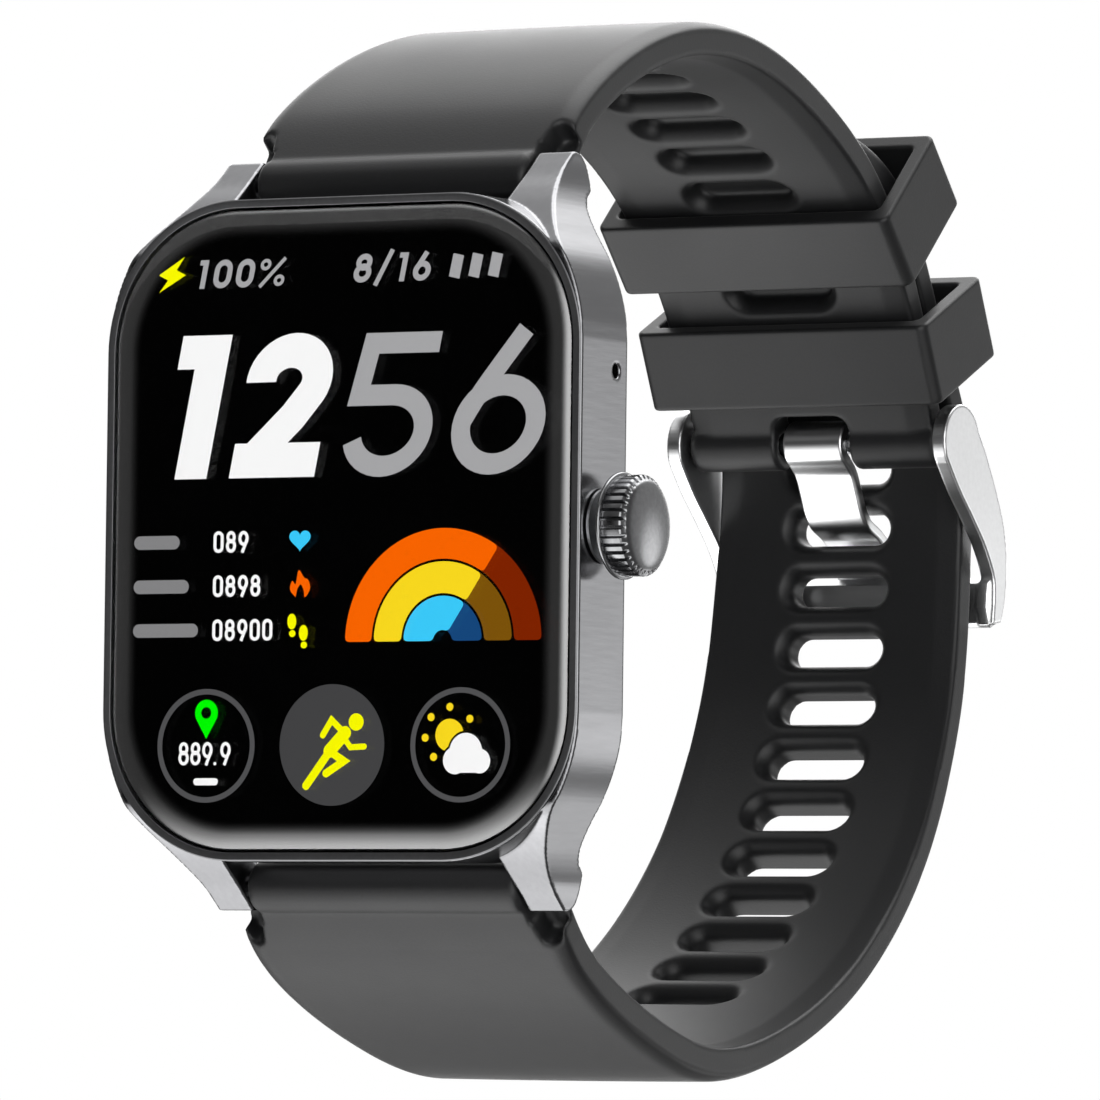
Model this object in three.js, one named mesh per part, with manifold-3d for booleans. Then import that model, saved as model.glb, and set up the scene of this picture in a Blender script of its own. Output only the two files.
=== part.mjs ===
// Smartwatch with a rectangular case, a crown, two silicone strap halves, two keepers and a pin buckle.
// Millimetres. +X points to the crown side, +Y towards the wrist, +Z to the upper strap half.
// The origin is the centre of the sensor lens where it meets the skin; the screen faces -Y.
import * as THREE from 'three';
import { mergeVertices } from 'three/addons/utils/BufferGeometryUtils.js';
import Module from 'manifold-3d';

const wasm = await Module();
wasm.setup();

// ---------------------------------------------------------------- driving dimensions

const GAP = 0.3;
const SLIM_GAP = 0.15;

const CASE = { width: 38.2, height: 46.2, corner: 10.6, frontY: -11, backY: -4.4, wall: 1.2 };
const GLASS = {
  width: 36.7, height: 44.7, corner: 9.85, frontY: -11.3, backY: -10.35, curveWidth: 2.6, rise: 0.55,
};
const SHELF = { topY: -10, bottomY: -9.3, width: 35.4, height: 43.4, corner: 9.2 };
const LUG = {
  gap: 22.4, tipZ: 26.5, barY: -3, barZ: 24.7, eyeRadius: 1.7, holeRadius: 0.6, holeDepth: 1.5,
};
const BOSS_HOLE_RADIUS = 0.65;
const COVER = {
  edgeY: -4.2, faceY: -1.9, lipY: -4.95, width: 36.8, height: 44.8, corner: 9.9, taper: 2.9, bevel: 2.2,
};
const LENS = { radius: 11.4, rimRadius: 13, thickness: 1.3, seatY: -1.45, apertureRadius: 10.3 };
const SCREW = { x: 12.3, z: 16.3, headRadius: 1, shankRadius: 0.5, tipY: -7.4 };
const CROWN = {
  y: -7.6, capRadius: 3.5, teeth: 32, capBackX: 20.05, knurlX: 20.85, capFrontX: 22.5, domeX: 23.1,
  collarX: 20.55, collarRadius: 3.7, neckRadius: 2.6, flangeRadius: 2.6,
};
const MIC = { y: -5.95, z: 10.8, radius: 0.5 };
const SPEAKER_HOLES = { y: -7, z: [-5.2, -3.2, -1.2], radius: 0.45 };

const STRAP = { thickness: 2.7, shoulder: 13, tubeRadius: 1.9, tubeHalf: 11, buckleHalf: 10.05 };
const SLOT = { length: 8, height: 2.4, pitch: 4.65, count: 12 };
const RECESS = { count: 8, depth: 1.5, pitch: 4.75, fromPin: 13.2 };
const BAR = { radius: 0.75, boreRadius: 0.95, half: 10.6, tipRadius: 0.4, tipBore: 0.5, tipOut: 12.1 };
const BUCKLE = {
  barY: 59.6, barZ: 9.9, boreRadius: 0.9, tubeRadius: 1.9, pinHalf: 11.25,
  armInner: 10.7, armThickness: 1.15, armRadius: 2.8,
};
const TONGUE = { width: 5, thickness: 0.9, notchHalf: 3.1 };
const KEEPER = { halfWidth: 12.25, cavityHalf: 11.05, length: 6.3, depth: 10.3, wall: 1.4, corner: 0.7 };
// Distance of each keeper from the buckle pin along the upper half.
const KEEPER_PLACES = { upper: 17.8, lower: 7.3 };

// Middle line of each strap half in the YZ plane, from its spring bar to its free end.
const UPPER_LINE = [
  [LUG.barY, LUG.barZ], [1, 29.2], [9.3, 33.8], [18.9, 36.3], [28.6, 36.1],
  [38.9, 33], [47.2, 28.4], [53.8, 21.3], [BUCKLE.barY, BUCKLE.barZ],
];
const LOWER_LINE = [
  [LUG.barY, -LUG.barZ], [1.5, -29.6], [11.8, -34.4], [22.6, -36.7], [34.4, -34.7], [46.1, -29.4],
  [55.4, -21.1], [61.2, -10.3], [63.1, -0.5], [63.45, 8.6], [62.45, 12.6],
];
// From there its tail lies on the outside of the upper half: distances from the buckle pin, and lift.
const TAIL = [[7.3, 3.1], [13, 3.1], [18, 3.15], [23.4, 3.7]];
const FIRST_SLOT_Z = 8.3;

// ---------------------------------------------------------------- materials

const material = (color, roughness, metalness) =>
  new THREE.MeshStandardMaterial({ color, roughness, metalness });
const GUNMETAL = material(0x4a4b4f, 0.38, 0.9);
const STEEL = material(0xd8d9da, 0.22, 1);
const GLASS_BLACK = material(0x050507, 0.06, 0);
const SCREEN = material(0x0a0a0c, 0.4, 0);
const SILICONE = material(0x2b2c2e, 0.72, 0);
const PLASTIC = material(0x1d1e20, 0.55, 0);
const BOARD_GREEN = material(0x1c4a34, 0.6, 0);
const FOIL = material(0xb4b6b8, 0.35, 0.8);
const COPPER = material(0xb8763a, 0.4, 0.8);
const GOLD = material(0xcfa956, 0.25, 1);
const RUBBER = material(0x101010, 0.85, 0);
const MAGNET = material(0x8a8c90, 0.3, 0.9);

// ---------------------------------------------------------------- shape helpers

// Closed, merged and outward-facing manifold solid of a three.js geometry.
function solid(geometry) {
  const bare = geometry.index ? geometry.toNonIndexed() : geometry.clone();
  bare.deleteAttribute('normal');
  bare.deleteAttribute('uv');
  const merged = mergeVertices(bare, 1e-4);
  const vertices = merged.attributes.position.array;
  const triangles = [];
  let volume = 0;
  const [a, b, c] = [new THREE.Vector3(), new THREE.Vector3(), new THREE.Vector3()];
  for (let i = 0; i < merged.index.count; i += 3) {
    const corners = [0, 1, 2].map((k) => merged.index.getX(i + k));
    if (new Set(corners).size < 3) continue;
    triangles.push(corners);
    a.fromArray(vertices, 3 * corners[0]);
    b.fromArray(vertices, 3 * corners[1]);
    c.fromArray(vertices, 3 * corners[2]);
    volume += a.dot(b.cross(c));
  }
  const ordered = volume < 0 ? triangles.map(([p, q, r]) => [p, r, q]) : triangles;
  const mesh = new wasm.Mesh({
    numProp: 3,
    vertProperties: new Float32Array(vertices),
    triVerts: new Uint32Array(ordered.flat()),
  });
  return new wasm.Manifold(mesh);
}

function geometryOf(body) {
  const mesh = body.getMesh();
  const geometry = new THREE.BufferGeometry();
  geometry.setAttribute('position', new THREE.BufferAttribute(new Float32Array(mesh.vertProperties), 3));
  geometry.setIndex(new THREE.BufferAttribute(new Uint32Array(mesh.triVerts), 1));
  return geometry;
}

const join = (first, ...others) => others.reduce((sum, next) => sum.add(next), first);
const cut = (first, ...others) => others.reduce((rest, next) => rest.subtract(next), first);

function mirrored(body, signX, signZ) {
  return solid(geometryOf(body).applyMatrix4(new THREE.Matrix4().makeScale(signX, 1, signZ)));
}

function roundedRect(width, height, radius) {
  const x = width / 2 - radius;
  const y = height / 2 - radius;
  const shape = new THREE.Shape();
  shape.absarc(x, y, radius, 0, Math.PI / 2);
  shape.absarc(-x, y, radius, Math.PI / 2, Math.PI);
  shape.absarc(-x, -y, radius, Math.PI, 1.5 * Math.PI);
  shape.absarc(x, -y, radius, 1.5 * Math.PI, 2 * Math.PI);
  return shape;
}

// Shape drawn in X and Z, extruded along Y from y0 to y1.
function extrudeY(shape, y0, y1, options = {}) {
  const geometry = new THREE.ExtrudeGeometry(shape, {
    depth: y1 - y0, bevelEnabled: false, curveSegments: 3, ...options,
  });
  return geometry.rotateX(Math.PI / 2).translate(0, y1, 0);
}

// Shape drawn in Y and Z, extruded along X from x0 to x1.
function extrudeX(shape, x0, x1, options = {}) {
  const geometry = new THREE.ExtrudeGeometry(shape, {
    depth: x1 - x0, bevelEnabled: false, curveSegments: 2, ...options,
  });
  const turn = new THREE.Matrix4().makeBasis(
    new THREE.Vector3(0, 1, 0), new THREE.Vector3(0, 0, 1), new THREE.Vector3(1, 0, 0),
  );
  return geometry.applyMatrix4(turn).translate(x0, 0, 0);
}

// Rounded plate in the XZ plane between two Y levels.
function plate(width, height, corner, y0, y1, x = 0, z = 0) {
  const curveSegments = corner > 5 ? 4 : 1;
  const geometry = extrudeY(roundedRect(width, height, corner), y0, y1, { curveSegments });
  return solid(geometry.translate(x, 0, z));
}

function ring(outer, inner, y0, y1) {
  return cut(plate(...outer, y0, y1), plate(...inner, y0 - 1, y1 + 1));
}

function box(x0, x1, y0, y1, z0, z1) {
  const geometry = new THREE.BoxGeometry(x1 - x0, y1 - y0, z1 - z0);
  return solid(geometry.translate((x0 + x1) / 2, (y0 + y1) / 2, (z0 + z1) / 2));
}

// Turned body about an axis along X through (y, z); the profile holds [radius, x] pairs.
function turnedX(profile, y, z, segments = 20) {
  const points = profile.map(([radius, x]) => new THREE.Vector2(radius, x));
  return solid(new THREE.LatheGeometry(points, segments).rotateZ(-Math.PI / 2).translate(0, y, z));
}

// Turned body about an axis along Y through (x, z); the profile holds [radius, y] pairs.
function turnedY(profile, x, z, segments = 20) {
  const points = profile.map(([radius, y]) => new THREE.Vector2(radius, y));
  return solid(new THREE.LatheGeometry(points, segments).translate(x, 0, z));
}

const rodX = (radius, x0, x1, y, z, segments = 16) =>
  turnedX([[0, x0], [radius, x0], [radius, x1], [0, x1]], y, z, segments);
const rodY = (radius, y0, y1, x, z, segments = 16) =>
  turnedY([[0, y0], [radius, y0], [radius, y1], [0, y1]], x, z, segments);
const tubeX = (outer, inner, x0, x1, y, z, segments = 20) =>
  turnedX([[inner, x0], [outer, x0], [outer, x1], [inner, x1], [inner, x0]], y, z, segments);

function lineCurve(points) {
  const places = points.map(([y, z]) => new THREE.Vector3(0, y, z));
  return new THREE.CatmullRomCurve3(places, false, 'centripetal');
}

// Frame on a curve in the YZ plane: X across the band, Y along it, Z along its left-hand normal.
function frameAt(curve, u) {
  const tangent = curve.getTangentAt(u);
  const normal = new THREE.Vector3(0, -tangent.z, tangent.y);
  const frame = new THREE.Matrix4().makeBasis(new THREE.Vector3(1, 0, 0), tangent, normal);
  return frame.setPosition(curve.getPointAt(u));
}

// Band swept along a curve: a rectangular section with its own width at each station.
function band(curve, stations, halfWidth, halfThickness) {
  const length = curve.getLength();
  const positions = [];
  for (let i = 0; i <= stations; i += 1) {
    const u = i / stations;
    const w = halfWidth(u * length, length);
    const t = halfThickness;
    const frame = frameAt(curve, u);
    [[w, -t], [w, t], [-w, t], [-w, -t]].forEach(([x, n]) => {
      positions.push(...new THREE.Vector3(x, 0, n).applyMatrix4(frame));
    });
  }
  const sides = 4;
  const index = [];
  for (let i = 0; i < stations; i += 1) {
    for (let k = 0; k < sides; k += 1) {
      const a = i * sides + k;
      const b = i * sides + ((k + 1) % sides);
      index.push(a, b, b + sides, a, b + sides, a + sides);
    }
  }
  const last = stations * sides;
  for (let k = 1; k < sides - 1; k += 1) {
    index.push(0, k + 1, k, last, last + k, last + k + 1);
  }
  const geometry = new THREE.BufferGeometry();
  geometry.setAttribute('position', new THREE.Float32BufferAttribute(positions, 3));
  geometry.setIndex(index);
  return solid(geometry);
}

// Long hole with round ends, cut through (or partly into) a band at one place on its curve.
function slotCutter(curve, u, low, high) {
  const shape = roundedRect(SLOT.length, SLOT.height, SLOT.height / 2 - 0.01);
  const options = { depth: high - low, bevelEnabled: false, curveSegments: 1 };
  const geometry = new THREE.ExtrudeGeometry(shape, options);
  return solid(geometry.translate(0, 0, low).applyMatrix4(frameAt(curve, u)));
}

const watch = new THREE.Group();

function add(name, body, look, parent = watch) {
  const mesh = new THREE.Mesh(geometryOf(body), look);
  mesh.name = name;
  parent.add(mesh);
  return mesh;
}

// ---------------------------------------------------------------- case

// One lug: its outline seen from the front, met with its outline seen from the side.
function lugSolid() {
  const inner = LUG.gap / 2;
  const plan = new THREE.Shape();
  plan.moveTo(16.5, 14.2);
  plan.lineTo(19.08, 14.2);
  plan.splineThru([[18.75, 16.6], [17.9, 18.7], [16.5, 20.5], [14.9, 22.7], [14.1, 24.6], [14, 25.9]]
    .map(([x, z]) => new THREE.Vector2(x, z)));
  plan.lineTo(inner, LUG.tipZ);
  plan.lineTo(inner, 21);
  const side = new THREE.Shape();
  side.moveTo(CASE.backY, 14);
  side.splineThru([[-4.3, 18.4], [-4.05, 20.7], [-3.5, 22.1], [-2.6, 23.1]]
    .map(([y, z]) => new THREE.Vector2(y, z)));
  const eyeAngles = [-40, 100].map((degrees) => THREE.MathUtils.degToRad(degrees));
  side.absarc(LUG.barY, LUG.barZ, LUG.eyeRadius, ...eyeAngles);
  [[-4.2, 25.6], [-6.8, 23.5], [-8.2, 22.3], [-10.05, 20.5], [-10.6, 19.7], [-10.6, 14]]
    .forEach(([y, z]) => side.lineTo(y, z));
  return solid(extrudeY(plan, -11, 0)).intersect(solid(extrudeX(side, inner, 19.2)));
}

// Screw boss reaching from the screw to the corner wall.
function bossSolid() {
  const shape = roundedRect(7.4, 3, 1.49);
  const geometry = extrudeY(shape, SHELF.bottomY - 0.05, -5.1).rotateY(-Math.PI / 4);
  return solid(geometry.translate(SCREW.x + 1.35, 0, SCREW.z + 1.35));
}

const signs = [[1, 1], [-1, 1], [1, -1], [-1, -1]];

function midframe() {
  const { width, height, corner, frontY, backY, wall } = CASE;
  const lugs = signs.map(([sx, sz]) => mirrored(lugSolid(), sx, sz));
  const shell = cut(
    join(plate(width, height, corner, frontY, backY), ...lugs),
    plate(GLASS.width + 0.3, GLASS.height + 0.3, GLASS.corner + SLIM_GAP, frontY - 1, SHELF.topY),
    plate(SHELF.width, SHELF.height, SHELF.corner, frontY - 1, backY),
    plate(width - 2 * wall, height - 2 * wall, corner - wall, SHELF.bottomY, 1),
    plate(COVER.width + 2 * GAP, COVER.height + 2 * GAP, COVER.corner + GAP, backY, 1),
  );
  const bosses = signs.map(([sx, sz]) => mirrored(bossSolid(), sx, sz));
  const screwHoles = signs.map(([sx, sz]) =>
    rodY(BOSS_HOLE_RADIUS, -8.4, -5, sx * SCREW.x, sz * SCREW.z, 12));
  const inner = LUG.gap / 2;
  const barHoles = signs.map(([sx, sz]) => {
    const ends = [sx * (inner - 0.5), sx * (inner + LUG.holeDepth)].sort((a, b) => a - b);
    return rodX(LUG.holeRadius, ...ends, LUG.barY, sz * LUG.barZ, 12);
  });
  const crownHole = rodX(1.6, 17, 20, CROWN.y, 0, 24);
  const micHole = rodX(MIC.radius, 17, 20, MIC.y, MIC.z, 12);
  const soundHoles = SPEAKER_HOLES.z.map((z) =>
    rodX(SPEAKER_HOLES.radius, -20, -17, SPEAKER_HOLES.y, z, 12));
  return cut(join(shell, ...bosses), ...screwHoles, ...barHoles, crownHole, micHole, ...soundHoles);
}
add('midframe', midframe(), GUNMETAL);

// ---------------------------------------------------------------- screen

function coverGlass() {
  const { width, height, corner, frontY, backY, curveWidth, rise } = GLASS;
  const domed = extrudeY(roundedRect(width, height, corner), frontY + rise, frontY + 3, {
    bevelEnabled: true,
    bevelThickness: rise,
    bevelSize: curveWidth,
    bevelOffset: -curveWidth,
    bevelSegments: 3,
    curveSegments: 4,
  });
  return solid(domed).intersect(box(-width, width, frontY - 1, backY, -height, height));
}
add('cover_glass', coverGlass(), GLASS_BLACK);
add('display_gasket', ring([36.4, 44.4, 9.7], [35.6, 43.6, 9.3], -10.25, -10.1), RUBBER);
add('display_panel', plate(34.8, 42.8, 8.9, -10.15, -9.45), SCREEN);

// Ribbon from the back of the display, through the bracket, to the edge of the main board.
function displayFlex() {
  const side = new THREE.Shape();
  side.setFromPoints([[-9.3, 0.9], [-9.3, 2.1], [-8.05, 2.1], [-8.05, 2.6], [-7.9, 2.6], [-7.9, 1.95],
    [-9.15, 1.95], [-9.15, 0.9]].map(([y, z]) => new THREE.Vector2(y, z)));
  return solid(extrudeX(side, -4, 4));
}
add('display_flex', displayFlex(), COPPER);

// ---------------------------------------------------------------- inside the case

function innerBracket() {
  const crownNotch = box(11.4, 20, -10, -8, -2.6, 2.6);
  const flexSlot = box(-4.4, 4.4, -10, -8, 0.7, 2.7);
  const bossHoles = signs.map(([sx, sz]) => {
    const shape = roundedRect(9, 3.6, 1.7);
    const geometry = extrudeY(shape, -10, -8).rotateY(-Math.PI / 4);
    return mirrored(solid(geometry.translate(SCREW.x + 1.5, 0, SCREW.z + 1.5)), sx, sz);
  });
  return cut(plate(35.2, 43.2, 9.1, -9.1, -8.6), crownNotch, flexSlot, ...bossHoles);
}
add('inner_bracket', innerBracket(), PLASTIC);
add('battery', plate(20, 19.6, 1.5, -8.4, -4.95, 0.4, -9.2), FOIL);
add('main_board', plate(24.6, 11.4, 1, -8.4, -7.6, 2.1, 8.6), BOARD_GREEN);
add('processor_shield', plate(12, 9, 0.6, -7.45, -6.3, -2.5, 8.6), FOIL);
add('bluetooth_antenna', plate(18, 1.1, 0.4, -8.4, -5.4, 0, 18.9), COPPER);
add('speaker', plate(5.6, 9, 1.2, -8.4, -5.3, -14.2, -3.2), PLASTIC);
add('microphone', plate(1.7, 3, 0.3, -7.1, -5.1, 16.2, MIC.z), FOIL);
add('mic_seal', tubeX(0.85, 0.5, 17.2, 17.75, MIC.y, MIC.z, 12), RUBBER);
add('vibration_motor', join(
  rodX(1.6, -14.2, -10.7, -6.8, -11.5, 20),
  rodX(0.35, -14.5, -14, -6.8, -11.5, 12),
), FOIL);

function motorWeight() {
  const shape = new THREE.Shape();
  const [y, z, radius] = [-6.8, -11.5, 1.55];
  shape.absarc(y, z, radius, Math.PI, 2 * Math.PI);
  shape.lineTo(y + 0.7, z + 0.7);
  shape.lineTo(y - 0.7, z + 0.7);
  return cut(solid(extrudeX(shape, -16.9, -14.7)), rodX(0.45, -15.2, -14.6, y, z, 12));
}
add('motor_weight', motorWeight(), MAGNET);

// ---------------------------------------------------------------- rear cover and sensor

function rearCover() {
  const { edgeY, faceY, lipY, width, height, corner, taper, bevel } = COVER;
  const bowl = extrudeY(roundedRect(width, height, corner), edgeY - 3, faceY - bevel, {
    bevelEnabled: true,
    bevelThickness: bevel,
    bevelSize: taper,
    bevelOffset: -taper,
    bevelSegments: 3,
    curveSegments: 4,
  });
  const outside = solid(bowl).intersect(box(-30, 30, edgeY, 5, -30, 30));
  const lip = ring([34.6, 42.6, 8.8], [32.6, 40.6, 7.8], lipY, edgeY + 0.1);
  const rimProfile = [[0, -2.2], [LENS.rimRadius, -2.2], [LENS.rimRadius, -1.7], [12.2, -0.7], [0, -0.7]];
  const rim = turnedY(rimProfile, 0, 0, 32);
  const body = cut(
    join(outside, lip, rim),
    plate(31, 39, 7, edgeY - 2, -2.9),
    rodY(LENS.apertureRadius, -4, 1, 0, 0, 32),
    rodY(LENS.radius + SLIM_GAP, LENS.seatY, 1, 0, 0, 32),
  );
  const screwHoles = signs.flatMap(([sx, sz]) => [
    rodY(BOSS_HOLE_RADIUS, -4, 0, sx * SCREW.x, sz * SCREW.z, 8),
    rodY(1.2, -2.6, 0, sx * SCREW.x, sz * SCREW.z, 12),
  ]);
  const contactHoles = [-1, 1].map((side) => rodY(1.3, -4, 0, side * 2.6, -16, 16));
  return cut(body, ...screwHoles, ...contactHoles);
}
add('rear_cover', rearCover(), PLASTIC);
add('rear_seal', ring([35.5, 43.5, 9.25], [34.9, 42.9, 8.95], -4.9, -4.5), RUBBER);

const lensProfile = [
  [0, -LENS.thickness], [LENS.radius, -LENS.thickness], [LENS.radius, -0.45], [10.6, 0], [0, 0],
];
add('sensor_lens', turnedY(lensProfile, 0, 0, 32), GLASS_BLACK);
add('sensor_board', rodY(9.8, -2.9, -2.3, 0, 0, 20), BOARD_GREEN);
const baffleProfile = [[3.2, -2.15], [9, -2.15], [9, -1.5], [3.2, -1.5], [3.2, -2.15]];
add('light_baffle', turnedY(baffleProfile, 0, 0, 24), PLASTIC);
['charge_contact_left', 'charge_contact_right'].forEach((name, i) => {
  const x = i === 0 ? -2.6 : 2.6;
  add(name, turnedY([[0, -3.5], [1.1, -3.5], [1.1, -2], [0.9, -1.8], [0, -1.8]], x, -16, 16), GOLD);
});
['charge_magnet_left', 'charge_magnet_right'].forEach((name, i) => {
  add(name, rodY(1.4, -4.2, -3.05, i === 0 ? -7.6 : 7.6, -15.5, 16), MAGNET);
});
signs.forEach(([sx, sz], i) => {
  const { headRadius, shankRadius, tipY } = SCREW;
  const profile = [
    [0, tipY], [shankRadius, tipY], [shankRadius, -2.45], [headRadius, -2.45], [headRadius, -2], [0, -2],
  ];
  const screw = turnedY(profile, sx * SCREW.x, sz * SCREW.z, 12);
  const slots = [box(-0.7, 0.7, -2.2, -1, -0.12, 0.12), box(-0.12, 0.12, -2.2, -1, -0.7, 0.7)]
    .map((slot) => solid(geometryOf(slot).translate(sx * SCREW.x, 0, sz * SCREW.z)));
  add(`rear_screw_${i + 1}`, cut(screw, ...slots), STEEL);
});

// ---------------------------------------------------------------- crown

// Knurled cap on a thin collar, with a shallow domed end, a neck and a blind bore for the stem.
function crownCap() {
  const { y, capRadius, teeth, capBackX, knurlX, capFrontX, domeX } = CROWN;
  const { collarX, collarRadius, neckRadius } = CROWN;
  const points = Array.from({ length: 2 * teeth }, (_, i) => {
    const angle = (Math.PI * i) / teeth;
    const radius = i % 2 ? capRadius : capRadius - 0.3;
    return new THREE.Vector2(y + radius * Math.cos(angle), radius * Math.sin(angle));
  });
  const knurled = join(
    solid(extrudeX(new THREE.Shape(points), knurlX - 0.05, capFrontX - 0.3)),
    rodX(collarRadius, collarX, knurlX, y, 0, 48),
    rodX(neckRadius, capBackX, collarX + 0.1, y, 0, 32),
  );
  const dome = [
    [0, capFrontX - 0.6], [3.3, capFrontX - 0.6], [3.3, capFrontX], [2.2, capFrontX + 0.4], [0, domeX],
  ];
  return cut(join(knurled, turnedX(dome, y, 0, 16)), rodX(0.85, capBackX - 1, 21.4, y, 0, 16));
}
add('crown_tube', turnedX([
  [0.9, 16.8], [1.45, 16.8], [1.45, 19.25], [CROWN.flangeRadius, 19.25], [CROWN.flangeRadius, 19.45],
  [0.9, 19.45], [0.9, 16.8],
], CROWN.y, 0, 48), STEEL);
add('crown_cap', crownCap(), GUNMETAL);
add('crown_stem', rodX(0.7, 13.5, 21.25, CROWN.y, 0, 16), STEEL);
add('crown_clip', tubeX(1.3, 0.8, 16.2, 16.5, CROWN.y, 0, 16), STEEL);
add('crown_encoder', tubeX(1.45, 0.85, 14.1, 15.2, CROWN.y, 0, 20), BOARD_GREEN);
add('crown_switch', plate(1.3, 3.2, 0.3, -9, -6.2, 12.1, 0), FOIL);

// ---------------------------------------------------------------- strap halves

const upperCurve = lineCurve(UPPER_LINE);
const tailPoint = ([fromPin, lift]) => {
  const frame = frameAt(upperCurve, 1 - fromPin / upperCurve.getLength());
  const point = new THREE.Vector3(0, 0, lift).applyMatrix4(frame);
  return [point.y, point.z];
};
const lowerCurve = lineCurve([...LOWER_LINE, ...TAIL.map(tailPoint)]);
const taper = (from, to, share) => THREE.MathUtils.lerp(from, to, THREE.MathUtils.clamp(share, 0, 1));
const upperWidth = (s, length) => taper(STRAP.shoulder, STRAP.buckleHalf, (s / length) ** 0.8);
const lowerWidth = (s, length) => {
  const body = taper(STRAP.shoulder, 9.95, (s - 5) / 100);
  const fromTip = Math.max(length - s, 0);
  const tipRadius = 7;
  if (fromTip >= tipRadius) return body;
  return body - 4 + 4 * Math.sqrt(1 - (1 - fromTip / tipRadius) ** 2);
};

// Parameter on a curve of the point nearest to a height, searched from one end of its free half.
function placeAtHeight(curve, z, from, to) {
  const steps = 400;
  let best = from;
  for (let i = 0; i <= steps; i += 1) {
    const u = THREE.MathUtils.lerp(from, to, i / steps);
    if (Math.abs(curve.getPointAt(u).z - z) < Math.abs(curve.getPointAt(best).z - z)) best = u;
  }
  return best;
}

// Tube round the spring bar, joined to the band, with its shoulders cut clear of the lug tips.
function strapRoot(bandBody, sign) {
  const tube = rodX(STRAP.tubeRadius, -STRAP.tubeHalf, STRAP.tubeHalf, LUG.barY, sign * LUG.barZ, 16);
  const bore = rodX(BAR.boreRadius, -20, 20, LUG.barY, sign * LUG.barZ, 12);
  const notches = [[-20, -STRAP.tubeHalf], [STRAP.tubeHalf, 20]]
    .map(([x0, x1]) => rodX(2.35, x0, x1, LUG.barY, sign * LUG.barZ, 16));
  return cut(join(bandBody, tube), bore, ...notches);
}

function strapUpper() {
  const half = STRAP.thickness / 2;
  const root = strapRoot(band(upperCurve, 34, upperWidth, half), 1);
  const { barY, barZ, tubeRadius } = BUCKLE;
  const end = rodX(tubeRadius, -STRAP.buckleHalf, STRAP.buckleHalf, barY, barZ, 24);
  const bore = rodX(BAR.boreRadius, -20, 20, barY, barZ, 16);
  const notch = solid(new THREE.BoxGeometry(2 * TONGUE.notchHalf, 5.2, 8)
    .translate(0, 0.2, 0).applyMatrix4(frameAt(upperCurve, 1)));
  const length = upperCurve.getLength();
  const recesses = Array.from({ length: RECESS.count }, (_, i) => {
    const u = 1 - (RECESS.fromPin + i * RECESS.pitch) / length;
    return slotCutter(upperCurve, u, -half - 1, -half + RECESS.depth);
  });
  return cut(join(root, end), bore, notch, ...recesses);
}

function strapLower() {
  const half = STRAP.thickness / 2;
  const root = strapRoot(band(lowerCurve, 54, lowerWidth, half), -1);
  const length = lowerCurve.getLength();
  const first = placeAtHeight(lowerCurve, FIRST_SLOT_Z, 0.6, 0.85);
  const slots = Array.from({ length: SLOT.count }, (_, i) =>
    slotCutter(lowerCurve, first - (i * SLOT.pitch) / length, -half - 1, half + 1));
  return cut(root, ...slots);
}
add('strap_upper', strapUpper(), SILICONE);
add('strap_lower', strapLower(), SILICONE);

[['upper', 1], ['lower', -1]].forEach(([name, sign]) => {
  const z = sign * LUG.barZ;
  const { radius, half, tipRadius, tipBore, tipOut } = BAR;
  const bores = [[-half - 1, -half + 4.4], [half - 4.4, half + 1]]
    .map(([x0, x1]) => rodX(tipBore, x0, x1, LUG.barY, z, 12));
  add(`spring_bar_${name}`, cut(rodX(radius, -half, half, LUG.barY, z, 16), ...bores), STEEL);
  add(`bar_tip_${name}_right`, rodX(tipRadius, half - 2.4, tipOut, LUG.barY, z, 10), STEEL);
  add(`bar_tip_${name}_left`, rodX(tipRadius, -tipOut, -half + 2.4, LUG.barY, z, 10), STEEL);
});

// ---------------------------------------------------------------- keepers

// Each keeper is a rectangular loop round both layers, square to the upper half where it stands.
Object.entries(KEEPER_PLACES).forEach(([name, fromPin]) => {
  const { halfWidth, cavityHalf, length, depth, wall, corner } = KEEPER;
  const outline = roundedRect(2 * halfWidth, depth, corner);
  outline.holes.push(roundedRect(2 * cavityHalf, depth - 2 * wall, 0.4));
  const options = { depth: length, bevelEnabled: false, curveSegments: 1 };
  const geometry = new THREE.ExtrudeGeometry(outline, options);
  geometry.translate(0, depth / 2 - wall - GAP - STRAP.thickness / 2, -length / 2);
  const frame = frameAt(upperCurve, 1 - fromPin / upperCurve.getLength());
  const holder = new THREE.Group();
  holder.applyMatrix4(frame.multiply(new THREE.Matrix4().makeRotationX(Math.PI / 2)));
  watch.add(holder);
  add(`keeper_${name}`, solid(geometry), SILICONE, holder);
});

// ---------------------------------------------------------------- buckle

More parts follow.
